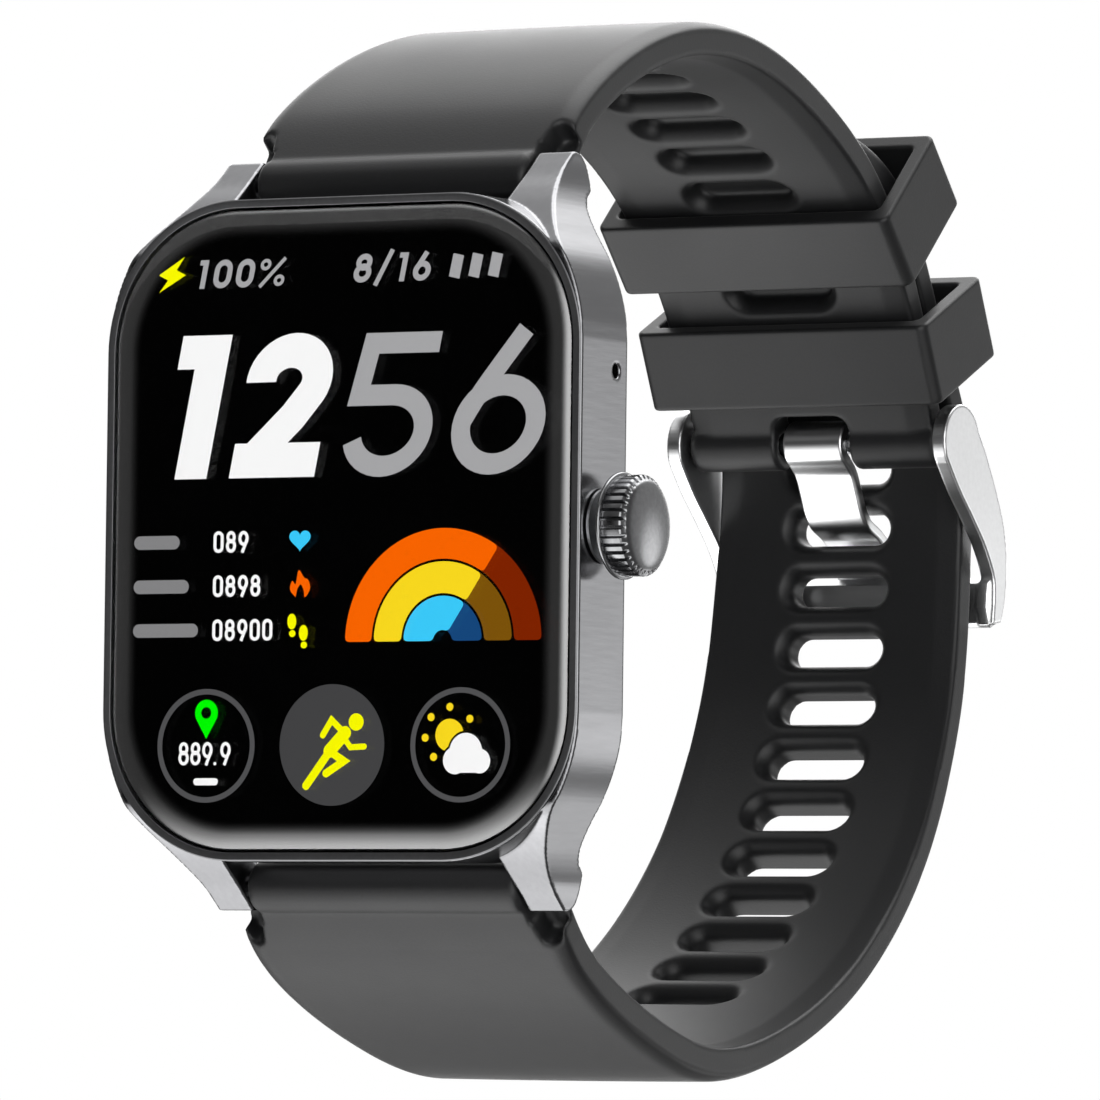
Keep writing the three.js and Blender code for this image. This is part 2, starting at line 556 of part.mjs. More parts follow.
// Two side arms and a broad cross bar that lies on the outside of the strap.
function buckleFrame() {
  const { barY, barZ, boreRadius, armInner, armThickness, armRadius, pinHalf } = BUCKLE;
  const arm = new THREE.Shape();
  arm.absarc(barY, barZ, armRadius, THREE.MathUtils.degToRad(20), THREE.MathUtils.degToRad(205));
  arm.splineThru([[59.2, 6.3], [61.4, 4.3], [63.6, 2.1], [64.95, 0], [65.1, -1.4], [64.9, -3.5]]
    .map(([y, z]) => new THREE.Vector2(y, z)));
  arm.lineTo(66.2, -3.3);
  arm.splineThru([[66.75, -1.8], [67.05, 0.8], [66.6, 3.7], [65.2, 6.6], [63.5, 9.3]]
    .map(([y, z]) => new THREE.Vector2(y, z)));
  const outer = armInner + armThickness;
  const arms = [[armInner, outer], [-outer, -armInner]].map(([x0, x1]) => solid(extrudeX(arm, x0, x1)));
  const bar = new THREE.Shape();
  const barOutline = [
    [64.95, -0.5], [65.05, -3.4], [65.6, -3.7], [66.2, -3.3], [66.75, -1.8], [66.5, -0.3], [65.7, 0],
  ];
  bar.setFromPoints(barOutline.map(([y, z]) => new THREE.Vector2(y, z)));
  const crossBar = solid(extrudeX(bar, -armInner - 0.4, armInner + 0.4));
  const bore = rodX(boreRadius, -pinHalf - 0.1, pinHalf + 0.1, barY, barZ, 16);
  return cut(join(arms[0], arms[1], crossBar), bore);
}

// Middle line of the tongue: round the pin, down the inside, through a slot and onto the cross bar.
function tongueCurve() {
  const { barY, barZ } = BUCKLE;
  const loopRadius = BUCKLE.boreRadius + TONGUE.thickness / 2;
  const loop = [20, 65, 110, 155, 195].map((degrees) => {
    const angle = THREE.MathUtils.degToRad(degrees);
    return [barY + loopRadius * Math.cos(angle), barZ + loopRadius * Math.sin(angle)];
  });
  return lineCurve([
    ...loop, [59.3, 7.1], [60.7, 4.95], [62, 3.95], [64.7, 3.2], [66.6, 1.7], [67.6, -0.9],
  ]);
}
add('buckle_frame', buckleFrame(), STEEL);
const pinRod = rodX(BAR.radius, -BUCKLE.pinHalf, BUCKLE.pinHalf, BUCKLE.barY, BUCKLE.barZ, 16);
add('buckle_pin', pinRod, STEEL);
const tongueHalf = () => TONGUE.width / 2;
add('buckle_tongue', band(tongueCurve(), 24, tongueHalf, TONGUE.thickness / 2), STEEL);

export default watch;
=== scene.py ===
"""Smartwatch with a lit face, a push crown and a buckled silicone strap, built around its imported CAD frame.

Lengths in this file are millimetres in the part's own axes (+X crown side, +Y wrist, +Z upper strap half);
meshes are written in metres.
"""
import math

import bmesh
import bpy
import numpy as np
from mathutils import Matrix, Vector


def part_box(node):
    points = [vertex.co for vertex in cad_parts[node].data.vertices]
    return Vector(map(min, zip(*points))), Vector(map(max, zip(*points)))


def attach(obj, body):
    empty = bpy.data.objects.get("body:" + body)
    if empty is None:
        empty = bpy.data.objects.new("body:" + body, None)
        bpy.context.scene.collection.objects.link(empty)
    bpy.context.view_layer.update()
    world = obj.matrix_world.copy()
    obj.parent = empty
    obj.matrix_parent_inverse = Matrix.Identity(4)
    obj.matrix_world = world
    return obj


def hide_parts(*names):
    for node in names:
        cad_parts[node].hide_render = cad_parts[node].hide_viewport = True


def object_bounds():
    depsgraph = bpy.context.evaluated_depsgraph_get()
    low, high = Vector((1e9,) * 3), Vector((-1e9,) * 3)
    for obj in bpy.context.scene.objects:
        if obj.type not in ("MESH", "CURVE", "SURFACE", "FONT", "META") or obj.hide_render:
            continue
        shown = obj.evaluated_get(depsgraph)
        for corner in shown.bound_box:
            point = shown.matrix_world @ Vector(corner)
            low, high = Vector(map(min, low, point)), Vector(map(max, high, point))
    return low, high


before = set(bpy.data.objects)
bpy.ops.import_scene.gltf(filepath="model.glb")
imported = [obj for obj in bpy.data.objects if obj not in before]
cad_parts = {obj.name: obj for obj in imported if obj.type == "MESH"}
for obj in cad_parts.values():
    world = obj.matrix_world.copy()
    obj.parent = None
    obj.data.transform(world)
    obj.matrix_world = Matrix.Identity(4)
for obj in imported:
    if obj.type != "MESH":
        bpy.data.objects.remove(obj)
cad_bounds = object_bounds()

MM = 0.001
COARSE = 1.0


def node_box(name):
    """Lowest and highest corner of a CAD node, in millimetres."""
    low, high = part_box(name)
    return np.array(low) / MM, np.array(high) / MM


# ---- driving dimensions

CASE_LOW, _ = node_box("midframe")
GLASS_LOW, GLASS_HIGH = node_box("cover_glass")
COVER_LOW, COVER_HIGH = node_box("rear_cover")
LENS_LOW, _ = node_box("sensor_lens")
CAP_LOW, CAP_HIGH = node_box("crown_cap")

CASE_HALF = (19.1, 23.1)
CASE_CORNER = 10.6
BEZEL_WIDTH = 0.6
GLASS_HALF = (18.35, 22.35)
GLASS_CORNER = 9.85
SHELL_FRONT = -10.8
SHELL_BACK = -4.4
LUG_INNER = 11.2
BAR_Y, BAR_Z = -3.0, 24.7
PIN_Y, PIN_Z = 59.6, 9.9
STRAP_HALF = 1.35
SHOULDER = 13.0
UPPER_END, LOWER_END = 10.05, 9.95      # half widths at the ends of the two strap halves
LENS_SEAT = -1.45
CROWN_Y = -7.6
MIC_Y, MIC_Z = -5.95, 10.8
SPEAKER_Y, SPEAKER_Z = -7.0, (-5.2, -3.2, -1.2)
SCREW_X, SCREW_Z = 12.3, 16.3
CONTACT_X, CONTACT_Z = 2.6, -16.0
BORE_RADIUS = 0.95

UPPER_LINE = [(BAR_Y, BAR_Z), (1.0, 29.2), (9.3, 33.8), (18.9, 36.3), (28.6, 36.1),
              (38.9, 33.0), (47.2, 28.4), (53.8, 21.3), (PIN_Y, PIN_Z)]
LOWER_LINE = [(BAR_Y, -BAR_Z), (1.5, -29.6), (11.8, -34.4), (22.6, -36.7), (34.4, -34.7), (46.1, -29.4),
              (55.4, -21.1), (61.2, -10.3), (63.1, -0.5), (63.45, 8.6), (62.45, 12.6)]
TAIL = [(7.3, 3.1), (13.0, 3.1), (18.0, 3.15), (23.4, 3.7)]     # distance before the pin, lift off the line
FIRST_SLOT_Z = 8.3
SLOT_PITCH, SLOT_COUNT = 4.65, 12
RECESS_PITCH, RECESS_COUNT, RECESS_FROM_PIN = 4.75, 8, 13.2
KEEPER_PLACES = {"upper": 17.8, "lower": 7.3}


# ---- curves

def catmull_rom(points, per_span=40):
    """Points on the centripetal Catmull-Rom curve through 2-D points."""
    p = np.array(points, float)
    p = np.vstack([2 * p[0] - p[1], p, 2 * p[-1] - p[-2]])
    t = np.linspace(0, 1, per_span, endpoint=False)[:, None]
    spans = []
    for p0, p1, p2, p3 in zip(p, p[1:], p[2:], p[3:]):
        d0, d1, d2 = (max(np.linalg.norm(b - a), 1e-9) ** 0.5 for a, b in ((p0, p1), (p1, p2), (p2, p3)))
        m1 = ((p1 - p0) / d0 - (p2 - p0) / (d0 + d1) + (p2 - p1) / d1) * d1
        m2 = ((p2 - p1) / d1 - (p3 - p1) / (d1 + d2) + (p3 - p2) / d2) * d1
        spans.append(p1 + m1 * t + (3 * (p2 - p1) - 2 * m1 - m2) * t ** 2 + (2 * (p1 - p2) + m1 + m2) * t ** 3)
    return np.vstack(spans + [p[-2]])


def arc(centre, radius, start, end, count=24):
    """Points on a circular arc, angles in degrees."""
    a = np.radians(np.linspace(start, end, count))
    return np.column_stack([centre[0] + radius * np.cos(a), centre[1] + radius * np.sin(a)])


class Line:
    """A curve in the YZ plane by distance along it, going straight on past both ends."""

    def __init__(self, points):
        self.p = catmull_rom(points)
        steps = np.linalg.norm(np.diff(self.p, axis=0), axis=1)
        self.s = np.concatenate([[0], np.cumsum(steps)])
        self.length = self.s[-1]
        tangent = np.gradient(self.p, self.s, axis=0)
        self.t = tangent / np.linalg.norm(tangent, axis=1)[:, None]

    def at(self, s):
        """Point, tangent and left-hand normal at distances s."""
        inside = np.clip(s, 0, self.length)
        point = np.stack([np.interp(inside, self.s, self.p[:, k]) for k in (0, 1)], -1)
        tangent = np.stack([np.interp(inside, self.s, self.t[:, k]) for k in (0, 1)], -1)
        tangent /= np.linalg.norm(tangent, axis=-1, keepdims=True)
        point = point + tangent * np.asarray(s - inside)[..., None]
        return point, tangent, np.stack([-tangent[..., 1], tangent[..., 0]], -1)

    def bend(self, flat, side=1):
        """Points (x, s, out) of a flat body put on the curve; side -1 puts out on the right-hand side."""
        point, _, normal = self.at(flat[:, 1])
        yz = point + normal * (side * flat[:, 2])[:, None]
        return np.column_stack([flat[:, 0], yz])


upper_line = Line(UPPER_LINE)


def tail_point(from_pin, lift):
    point, _, normal = upper_line.at(np.array(upper_line.length - from_pin))
    return tuple(point + normal * lift)


lower_line = Line(LOWER_LINE + [tail_point(*place) for place in TAIL])


# ---- distance fields

def smooth_max(a, b, k):
    """Larger of two distances, with the edge between them rounded over about k."""
    h = np.clip(0.5 + 0.5 * (a - b) / k, 0, 1)
    return b + (a - b) * h + k * h * (1 - h)


def smooth_min(a, b, k):
    return -smooth_max(-a, -b, k)


def rounded_rect(x, z, half_x, half_z, radius):
    qx = np.abs(x) - (half_x - radius)
    qz = np.abs(z) - (half_z - radius)
    outside = np.sqrt(np.maximum(qx, 0) ** 2 + np.maximum(qz, 0) ** 2)
    return outside + np.minimum(np.maximum(qx, qz), 0) - radius


def polygon(x, y, points):
    """Signed distance to a closed outline."""
    shape = np.broadcast(x, y).shape
    nearest = np.full(shape, np.inf, np.float32)
    inside = np.zeros(shape, bool)
    for (ax, ay), (bx, by) in zip(points, np.roll(points, -1, axis=0)):
        ex, ey = bx - ax, by - ay
        wx, wy = x - ax, y - ay
        t = np.clip((wx * ex + wy * ey) / (ex * ex + ey * ey), 0, 1)
        nearest = np.minimum(nearest, (wx - ex * t) ** 2 + (wy - ey * t) ** 2)
        if ey:
            inside ^= ((ay <= y) != (by <= y)) & (x < ax + wy * ex / ey)
    return np.where(inside, -1, 1) * np.sqrt(nearest)


def ramp(value, low, high):
    t = np.clip((value - low) / (high - low), 0, 1)
    return t * t * (3 - 2 * t)


def surface_net(distance, low, high, step):
    """Points and quads on the zero surface of a distance field, settled onto it by Newton steps."""
    step = step * COARSE
    axes = [np.arange(a - step, b + 2 * step, step, dtype=np.float32) for a, b in zip(low, high)]
    x, y, z = (axes[k].reshape([-1 if k == n else 1 for n in range(3)]) for k in range(3))
    field = np.ascontiguousarray(np.broadcast_to(distance(x, y, z), [len(a) for a in axes]), np.float32)
    inside = field < 0
    count = np.zeros([n - 1 for n in field.shape], np.int8)
    corners = [(i, j, k) for i in (0, 1) for j in (0, 1) for k in (0, 1)]
    for i, j, k in corners:
        count += inside[i:i + count.shape[0], j:j + count.shape[1], k:k + count.shape[2]]
    active = (count > 0) & (count < 8)
    cells = np.argwhere(active)
    number = np.full(active.shape, -1, np.int32)
    number[active] = np.arange(len(cells))
    total = np.zeros((len(cells), 3))
    hits = np.zeros(len(cells))
    for axis in range(3):
        unit = np.eye(3, dtype=int)[axis]
        for corner in corners:
            if corner[axis]:
                continue
            start = cells + np.array(corner)
            fa = field[tuple(start.T)]
            fb = field[tuple((start + unit).T)]
            crosses = (fa < 0) != (fb < 0)
            t = fa[crosses] / (fa[crosses] - fb[crosses])
            total[crosses] += start[crosses] + t[:, None] * unit
            hits += crosses
    points = np.array([a[0] for a in axes]) + step * total / hits[:, None]
    reach = step / 8
    for _ in range(3):
        value = distance(*points.T)
        slope = np.column_stack([
            distance(*(points + reach * unit).T) - distance(*(points - reach * unit).T) for unit in np.eye(3)
        ]) / (2 * reach)
        move = slope * (value / np.maximum((slope ** 2).sum(1), 0.05))[:, None]
        size = np.linalg.norm(move, axis=1)[:, None]
        points = points - move * np.minimum(1, 0.4 * step / np.maximum(size, 1e-9))
    quads = []
    for axis in range(3):
        a, b = (axis + 1) % 3, (axis + 2) % 3
        near = [slice(None)] * 3
        near[a] = near[b] = slice(1, -1)
        far = list(near)
        near[axis], far[axis] = slice(None, -1), slice(1, None)
        change = inside[tuple(near)] != inside[tuple(far)]
        at = np.argwhere(change)
        at[:, [a, b]] += 1
        ua, ub = np.eye(3, dtype=int)[a], np.eye(3, dtype=int)[b]
        quad = np.column_stack([number[tuple((at - shift).T)] for shift in (ua + ub, ub, 0 * ua, ua)])
        leaves = inside[tuple(at.T)]
        quads.append(np.where(leaves[:, None], quad, quad[:, ::-1]))
    return points, np.vstack(quads)


# ---- meshes

def put_in_scene(name, mesh):
    piece = bpy.data.objects.new(name, mesh)
    bpy.context.scene.collection.objects.link(piece)
    return piece


def net_piece(name, points, quads, flip=False):
    """Smooth-shaded object of a net of quads, points in millimetres."""
    quads = quads[:, ::-1] if flip else quads
    mesh = bpy.data.meshes.new(name)
    mesh.vertices.add(len(points))
    mesh.vertices.foreach_set("co", (points * MM).astype(np.float32).ravel())
    mesh.loops.add(quads.size)
    mesh.loops.foreach_set("vertex_index", quads.astype(np.int32).ravel())
    mesh.polygons.add(len(quads))
    mesh.polygons.foreach_set("loop_start", np.arange(0, quads.size, 4, dtype=np.int32))
    mesh.polygons.foreach_set("use_smooth", np.ones(len(quads), bool))
    mesh.update(calc_edges=True)
    mesh.validate()
    return put_in_scene(name, mesh)


def face_piece(name, points, faces, sharp=32, closed=True):
    """Object of any faces, points in millimetres, with edges over the sharp angle left crisp."""
    mesh = bpy.data.meshes.new(name)
    mesh.from_pydata((np.asarray(points) * MM).tolist(), [], [list(map(int, f)) for f in faces])
    work = bmesh.new()
    work.from_mesh(mesh)
    if closed:
        bmesh.ops.recalc_face_normals(work, faces=work.faces)
        if work.calc_volume(signed=True) < 0:
            bmesh.ops.reverse_faces(work, faces=work.faces)
    work.to_mesh(mesh)
    work.free()
    mesh.polygons.foreach_set("use_smooth", np.ones(len(mesh.polygons), bool))
    mesh.set_sharp_from_angle(angle=math.radians(sharp))
    return put_in_scene(name, mesh)


def loft(name, rings, ring_shaped=False, sharp=32):
    """Skin over rings of equal count: capped at both ends, or joined last to first."""
    count = len(rings[0])
    points = np.vstack(rings)
    pairs = list(zip(range(len(rings)), range(1, len(rings))))
    if ring_shaped:
        pairs.append((len(rings) - 1, 0))
    faces = [(a * count + i, a * count + (i + 1) % count, b * count + (i + 1) % count, b * count + i)
             for a, b in pairs for i in range(count)]
    if not ring_shaped:
        faces.append(tuple(range(count)))
        faces.append(tuple(range((len(rings) - 1) * count, len(rings) * count)))
    return face_piece(name, points, faces, sharp)


def rect_ring(inset, y, half=CASE_HALF, corner=CASE_CORNER, corner_points=28, side_points=7):
    """Rounded rectangle in the XZ plane, inset from the case's outline."""
    hx, hz, r = half[0] - inset, half[1] - inset, max(corner - inset, 0.05)
    points = []
    for k, (sx, sz) in enumerate([(1, 1), (-1, 1), (-1, -1), (1, -1)]):
        bend = arc((sx * (hx - r), sz * (hz - r)), r, 90 * k, 90 * k + 90, corner_points)
        points.append(bend)
        nx, nz = [(-1, 1), (-1, -1), (1, -1), (1, 1)][k]
        end = arc((nx * (hx - r), nz * (hz - r)), r, 90 * k + 90, 90 * k + 90, 1)[0]
        share = np.linspace(0, 1, side_points + 2)[1:-1, None]
        points.append(bend[-1] * (1 - share) + end * share)
    xz = np.vstack(points)
    return np.column_stack([xz[:, 0], np.full(len(xz), y), xz[:, 1]])


def turned(name, profile, axis, centre, count=96, radius_at=None, ring_shaped=False, sharp=32):
    """Body turned about X or Y; the profile holds (radius, distance along the axis) pairs."""
    angle = np.linspace(0, 2 * math.pi, count, endpoint=False)
    rings = []
    for row, (radius, along) in enumerate(profile):
        r = np.full(count, max(radius, 0.004)) if radius_at is None else radius_at(row, angle, radius)
        a, b = r * np.cos(angle), r * np.sin(angle)
        if axis == "X":
            rings.append(np.column_stack([np.full(count, along), centre[0] + a, centre[1] + b]))
        else:
            rings.append(np.column_stack([centre[0] + a, np.full(count, along), centre[1] + b]))
    return loft(name, rings, ring_shaped, sharp)


def fillet(start, corner, end, count=5):
    """Quadratic bend from start to end around a corner, both ends included."""
    t = np.linspace(0, 1, count)[:, None]
    s, c, e = (np.array(v, float) for v in (start, corner, end))
    return [tuple(v) for v in s * (1 - t) ** 2 + 2 * c * t * (1 - t) + e * t ** 2]


# ---- materials

def add_node(tree, kind, inputs, **settings):
    """New node; each input is given as a value, or as the socket that feeds it."""
    node = tree.nodes.new("ShaderNode" + kind)
    for name, value in settings.items():
        setattr(node, name, value)
    for name, value in inputs.items():
        if isinstance(value, bpy.types.NodeSocket):
            tree.links.new(value, node.inputs[name])
        else:
            node.inputs[name].default_value = value
    return node


def two_tone(tree, factor, dark, light, span):
    """Colour that goes from dark to light as the factor crosses the span."""
    tone = add_node(tree, "ValToRGB", {"Fac": factor})
    for stop, position, color in zip(tone.color_ramp.elements, span, (dark, light)):
        stop.position, stop.color = position, (*color, 1)
    return tone.outputs["Color"]


BROAD_SCALE = 120        # unevenness of the roughness, per metre


def surface(name, color, roughness, metallic=0.0, grain=0.0003, bump=0.1, spread=0.08, tint=0.06, stretch=None,
            **sockets):
    """Principled material whose roughness, tone and relief vary with a grain of the given size in metres."""
    material = bpy.data.materials.new(name)
    material.use_nodes = True
    tree = material.node_tree
    shader = tree.nodes["Principled BSDF"]
    shader.inputs["Metallic"].default_value = metallic
    for socket, value in sockets.items():
        shader.inputs[socket.replace("_", " ")].default_value = value
    place = add_node(tree, "TexCoord", {}).outputs["Object"]
    drawn = place
    if stretch:
        drawn = add_node(tree, "Mapping", {"Vector": place, "Scale": stretch}).outputs["Vector"]
    fine = add_node(tree, "TexNoise", {"Vector": drawn, "Scale": 1 / grain, "Detail": 3}).outputs["Fac"]
    broad = add_node(tree, "TexNoise", {"Vector": place, "Scale": BROAD_SCALE, "Detail": 4}).outputs["Fac"]
    rough = add_node(tree, "MapRange", {"Value": broad, "To Min": max(roughness - spread, 0.01),
                                        "To Max": min(roughness + spread, 1)})
    dark, light = [c * (1 - tint) for c in color], [min(c * (1 + tint), 1) for c in color]
    relief = add_node(tree, "Bump", {"Strength": bump, "Distance": grain * 0.3, "Height": fine})
    tree.links.new(rough.outputs["Result"], shader.inputs["Roughness"])
    tree.links.new(two_tone(tree, fine, dark, light, (0.3, 0.7)), shader.inputs["Base Color"])
    tree.links.new(relief.outputs["Normal"], shader.inputs["Normal"])
    return material


def lit(name, color, strength=1.25):
    """Lit pixels of the display, with a faint unevenness of a fine pixel grid."""
    material = surface(name, BLACK, 0.6, bump=0.0, grain=0.0002, Specular_IOR_Level=0.0)
    tree = material.node_tree
    shader = tree.nodes["Principled BSDF"]
    shader.inputs["Emission Strength"].default_value = strength
    fine = next(n for n in tree.nodes if n.type == "TEX_NOISE").outputs["Fac"]
    glow = two_tone(tree, fine, [c * 0.97 for c in color], color, (0, 1))
    tree.links.new(glow, shader.inputs["Emission Color"])
    return material


def brushed(name, color, roughness, stretch):
    """Metal with fine lines: the grain is drawn out along one axis."""
    return surface(name, color, roughness, 1.0, grain=0.0004, bump=0.03, spread=0.04, tint=0.03, stretch=stretch)


BLACK = (0.0, 0.0, 0.0)
CLEAR = dict(grain=0.01, bump=0.0, spread=0.01, tint=0.0, IOR=1.52, Transmission_Weight=1.0)

GUNMETAL = brushed("gunmetal_satin", (0.28, 0.281, 0.29), 0.22, (1, 0.12, 1))
RIM = surface("bezel_polished", (0.2, 0.201, 0.207), 0.4, 1.0, bump=0.02)
CROWN_METAL = surface("crown_metal", (0.32, 0.322, 0.33), 0.22, 1.0, bump=0.02)
STEEL = brushed("polished_steel", (0.86, 0.865, 0.87), 0.3, (0.1, 1, 1))
PLAIN_STEEL = surface("turned_steel", (0.6, 0.61, 0.62), 0.28, 1.0, bump=0.05)
SILICONE = surface("charcoal_silicone", (0.011, 0.0112, 0.012), 0.46, grain=0.00016, bump=0.2, spread=0.04,
                   tint=0.14, Specular_IOR_Level=0.5, Sheen_Weight=0.15, Sheen_Roughness=0.3)
# The back of the glass has no coat, which would double the picture behind it.
GLASS = surface("cover_glass_clear", (1, 1, 1), 0.02, Coat_Weight=1.0, Coat_IOR=2.5, **CLEAR)
GLASS_BACK = surface("cover_glass_back", (1, 1, 1), 0.02, **CLEAR)
PRINT = surface("black_print", (0.001, 0.001, 0.0011), 0.6, bump=0.0, Specular_IOR_Level=0.0)
PANEL = surface("display_black", (0.001, 0.001, 0.0011), 0.6, bump=0.0, Specular_IOR_Level=0.0)
BACK_PLASTIC = surface("back_plastic", (0.02, 0.0205, 0.022), 0.42, grain=0.00012, bump=0.3, tint=0.15)
LENS = surface("smoked_lens", (0.012, 0.012, 0.015), 0.05, bump=0.0, spread=0.02, Coat_Weight=0.6)
GOLD = surface("gold_plate", (0.85, 0.63, 0.3), 0.22, 1.0)
NICKEL = surface("nickel", (0.6, 0.6, 0.62), 0.25, 1.0)
BOARD = surface("solder_mask", (0.02, 0.12, 0.06), 0.4, grain=0.0009, tint=0.4)
FOIL = surface("cell_foil", (0.62, 0.63, 0.65), 0.35, 0.9, grain=0.0015, bump=0.3)
TIN = surface("tin_plate", (0.66, 0.67, 0.69), 0.3, 1.0, grain=0.0008)
COPPER = surface("amber_film", (0.55, 0.27, 0.08), 0.4, 0.3, grain=0.0008)
GASKET = surface("gasket_rubber", (0.012, 0.012, 0.012), 0.8, bump=0.3)
MOULDED = surface("moulded_plastic", (0.035, 0.035, 0.038), 0.55, bump=0.25)
TUNGSTEN = surface("sintered_metal", (0.16, 0.16, 0.17), 0.5, 0.9, grain=0.0002, bump=0.4)
SENSOR_DARK = surface("sensor_silicon", (0.01, 0.012, 0.03), 0.15, bump=0.02)
LED_GREEN = lit("sensor_led", (0.05, 0.5, 0.12), 0.35)


def finish_piece(piece, material, body, slot, *nodes):
    """Material, body and replaced CAD nodes of one piece; the slot argument is not used."""
    piece.data.materials.clear()
    piece.data.materials.append(material)
    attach(piece, body)
    if nodes:
        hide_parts(*nodes)
    return piece


# ---- camera

CAMERA_AZIMUTH, CAMERA_ELEVATION, CAMERA_ROLL = 29.755, -2.888, 0.722     # degrees
CAMERA_DISTANCE, AIM_RIGHT, AIM_UP = 746.1, 9.19, -0.98
LENS_LENGTH = 347.8


def toward(azimuth, elevation):
    """Unit vector at an azimuth from the screen side towards the crown, and at an elevation, in degrees."""
    a, e = math.radians(azimuth), math.radians(elevation)
    return Vector((math.sin(a) * math.cos(e), -math.cos(a) * math.cos(e), math.sin(e)))


def make_camera():
    azimuth = math.radians(CAMERA_AZIMUTH)
    back = toward(CAMERA_AZIMUTH, CAMERA_ELEVATION)
    right = Vector((math.cos(azimuth), math.sin(azimuth), 0))
    up = back.cross(right)
    roll = math.radians(CAMERA_ROLL)
    right, up = (math.cos(roll) * right + math.sin(roll) * up, math.cos(roll) * up - math.sin(roll) * right)
    data = bpy.data.cameras.new("camera")
    data.lens = LENS_LENGTH
    data.clip_start, data.clip_end = 0.01, 20
    camera = bpy.data.objects.new("camera", data)
    bpy.context.scene.collection.objects.link(camera)
    place = (back * CAMERA_DISTANCE + right * AIM_RIGHT + up * AIM_UP) * MM
    camera.matrix_world = Matrix.Translation(place) @ Matrix((right, up, back)).transposed().to_4x4()
    bpy.context.scene.camera = camera


make_camera()


# ---- case

LUG_PLAN = np.vstack([
    [(14.5, 11.0), (19.1, 11.0), (19.1, 12.6)],
    catmull_rom([(19.1, 12.9), (18.98, 14.6), (18.5, 16.6), (17.65, 18.6), (16.35, 20.6), (14.95, 22.8),
                 (14.15, 24.7), (14.0, 26.6)], 6),
    [(LUG_INNER, 26.6), (LUG_INNER, 20.0)],
])
LUG_SIDE = np.vstack([
    [(-10.75, 10.0), (-4.4, 10.0)],
    catmull_rom([(-4.4, 14.5), (-4.35, 18.5), (-4.05, 20.7), (-3.5, 22.1), (-2.65, 23.1)], 6),
    arc((BAR_Y, BAR_Z), 1.68, -40, 100, 16),
    catmull_rom([(-4.2, 25.6), (-5.34, 24.65), (-6.8, 23.5), (-8.2, 22.3), (-10.05, 20.45), (-10.78, 19.3),
                 (-10.78, 18.0)], 6),
])


def case_distance(x, y, z):
    ax, az = np.abs(x), np.abs(z)
    outline = rounded_rect(ax, az, *CASE_HALF, CASE_CORNER)
    body = smooth_max(smooth_max(outline, SHELL_FRONT - y, 0.05), y - SHELL_BACK, 0.12)
    lug = smooth_max(polygon(ax, az, LUG_PLAN), polygon(y, az, LUG_SIDE), 0.12)
    outer = np.minimum(body, lug)
    seat = np.maximum(rounded_rect(ax, az, 18.5, 22.5, 10.0), y + 10.0)
    opening = rounded_rect(ax, az, 17.7, 21.7, 9.2)
    hollow = np.maximum(rounded_rect(ax, az, 17.9, 21.9, 9.4), -9.3 - y)
    cover_seat = np.maximum(rounded_rect(ax, az, 18.7, 22.7, 10.2), SHELL_BACK - y)
    cavity = np.minimum(np.minimum(seat, opening), np.minimum(hollow, cover_seat))
    bar_hole = np.maximum(np.hypot(y - BAR_Y, az - BAR_Z) - 0.6, np.abs(ax - 11.5) - 1.2)
    mic = np.maximum(np.hypot(y - MIC_Y, z - MIC_Z) - 0.5 - 0.06 * ramp(x, 19.0, 19.12), 17.0 - x)
    crown = np.maximum(np.hypot(y - CROWN_Y, z) - 1.6, 17.0 - x)
    speaker = np.minimum.reduce([np.hypot(y - SPEAKER_Y, z - hole) for hole in SPEAKER_Z])
    sound = np.maximum(speaker - 0.45, x + 17.0)
    holes = np.minimum(np.minimum(bar_hole, mic), np.minimum(crown, sound))
    return np.maximum(smooth_max(outer, -cavity, 0.1), -holes)


def make_case():
    low = (-19.2, SHELL_FRONT, -26.6)
    high = (19.2, -1.1, 26.6)
    points, quads = surface_net(case_distance, low, high, 0.16)
    shell = net_piece("case_shell", points, quads)
    finish_piece(shell, GUNMETAL, "case", "case_metal", "midframe")
    front = CASE_LOW[1]
    rows = [(BEZEL_WIDTH, -10.1), *fillet((BEZEL_WIDTH, front + 0.06), (BEZEL_WIDTH, front), (0.54, front), 4),
            (0.1, front), (0.02, front + 0.05), (0.02, SHELL_FRONT - 0.1), (0.14, SHELL_FRONT - 0.09),
            (0.14, SHELL_FRONT + 0.01), (0.5, SHELL_FRONT + 0.01), (0.5, -10.1)]
    bezel = loft("case_bezel", [rect_ring(inset, y) for inset, y in rows], ring_shaped=True, sharp=28)
    finish_piece(bezel, RIM, "case", "case_metal")


def glass_rings(rows):
    return [rect_ring(inset, y, GLASS_HALF, GLASS_CORNER) for inset, y in rows]


def make_glass():
    back, front = GLASS_HIGH[1], GLASS_LOW[1]
    edge, width = front + 0.58, 2.9
    rows = [(0.5, back), (0.06, back), (0.0, back - 0.05), (0.0, edge + 0.02)]
    rows += [(width * (1 - math.cos(a)), edge - (edge - front) * math.sin(a))
             for a in np.radians(np.linspace(4, 90, 22))]
    rows.append((width + 0.2, front))
    glass = loft("front_glass", glass_rings(rows), sharp=30)
    finish_piece(glass, GLASS, "case", "cover_glass", "cover_glass")
    glass.data.materials.append(GLASS_BACK)
    for face in glass.data.polygons:
        face.material_index = int(face.center[1] > (back - 0.06) * MM)
    mask = [(0.1, back + 0.06), (0.1, back + 0.02), (1.3, back + 0.02), (1.3, back + 0.06)]
    border = loft("glass_border_print", glass_rings(mask), ring_shaped=True)
    finish_piece(border, PRINT, "case", "display_black")


SCREW_SIDES = [(1, 1), (-1, 1), (1, -1), (-1, -1)]


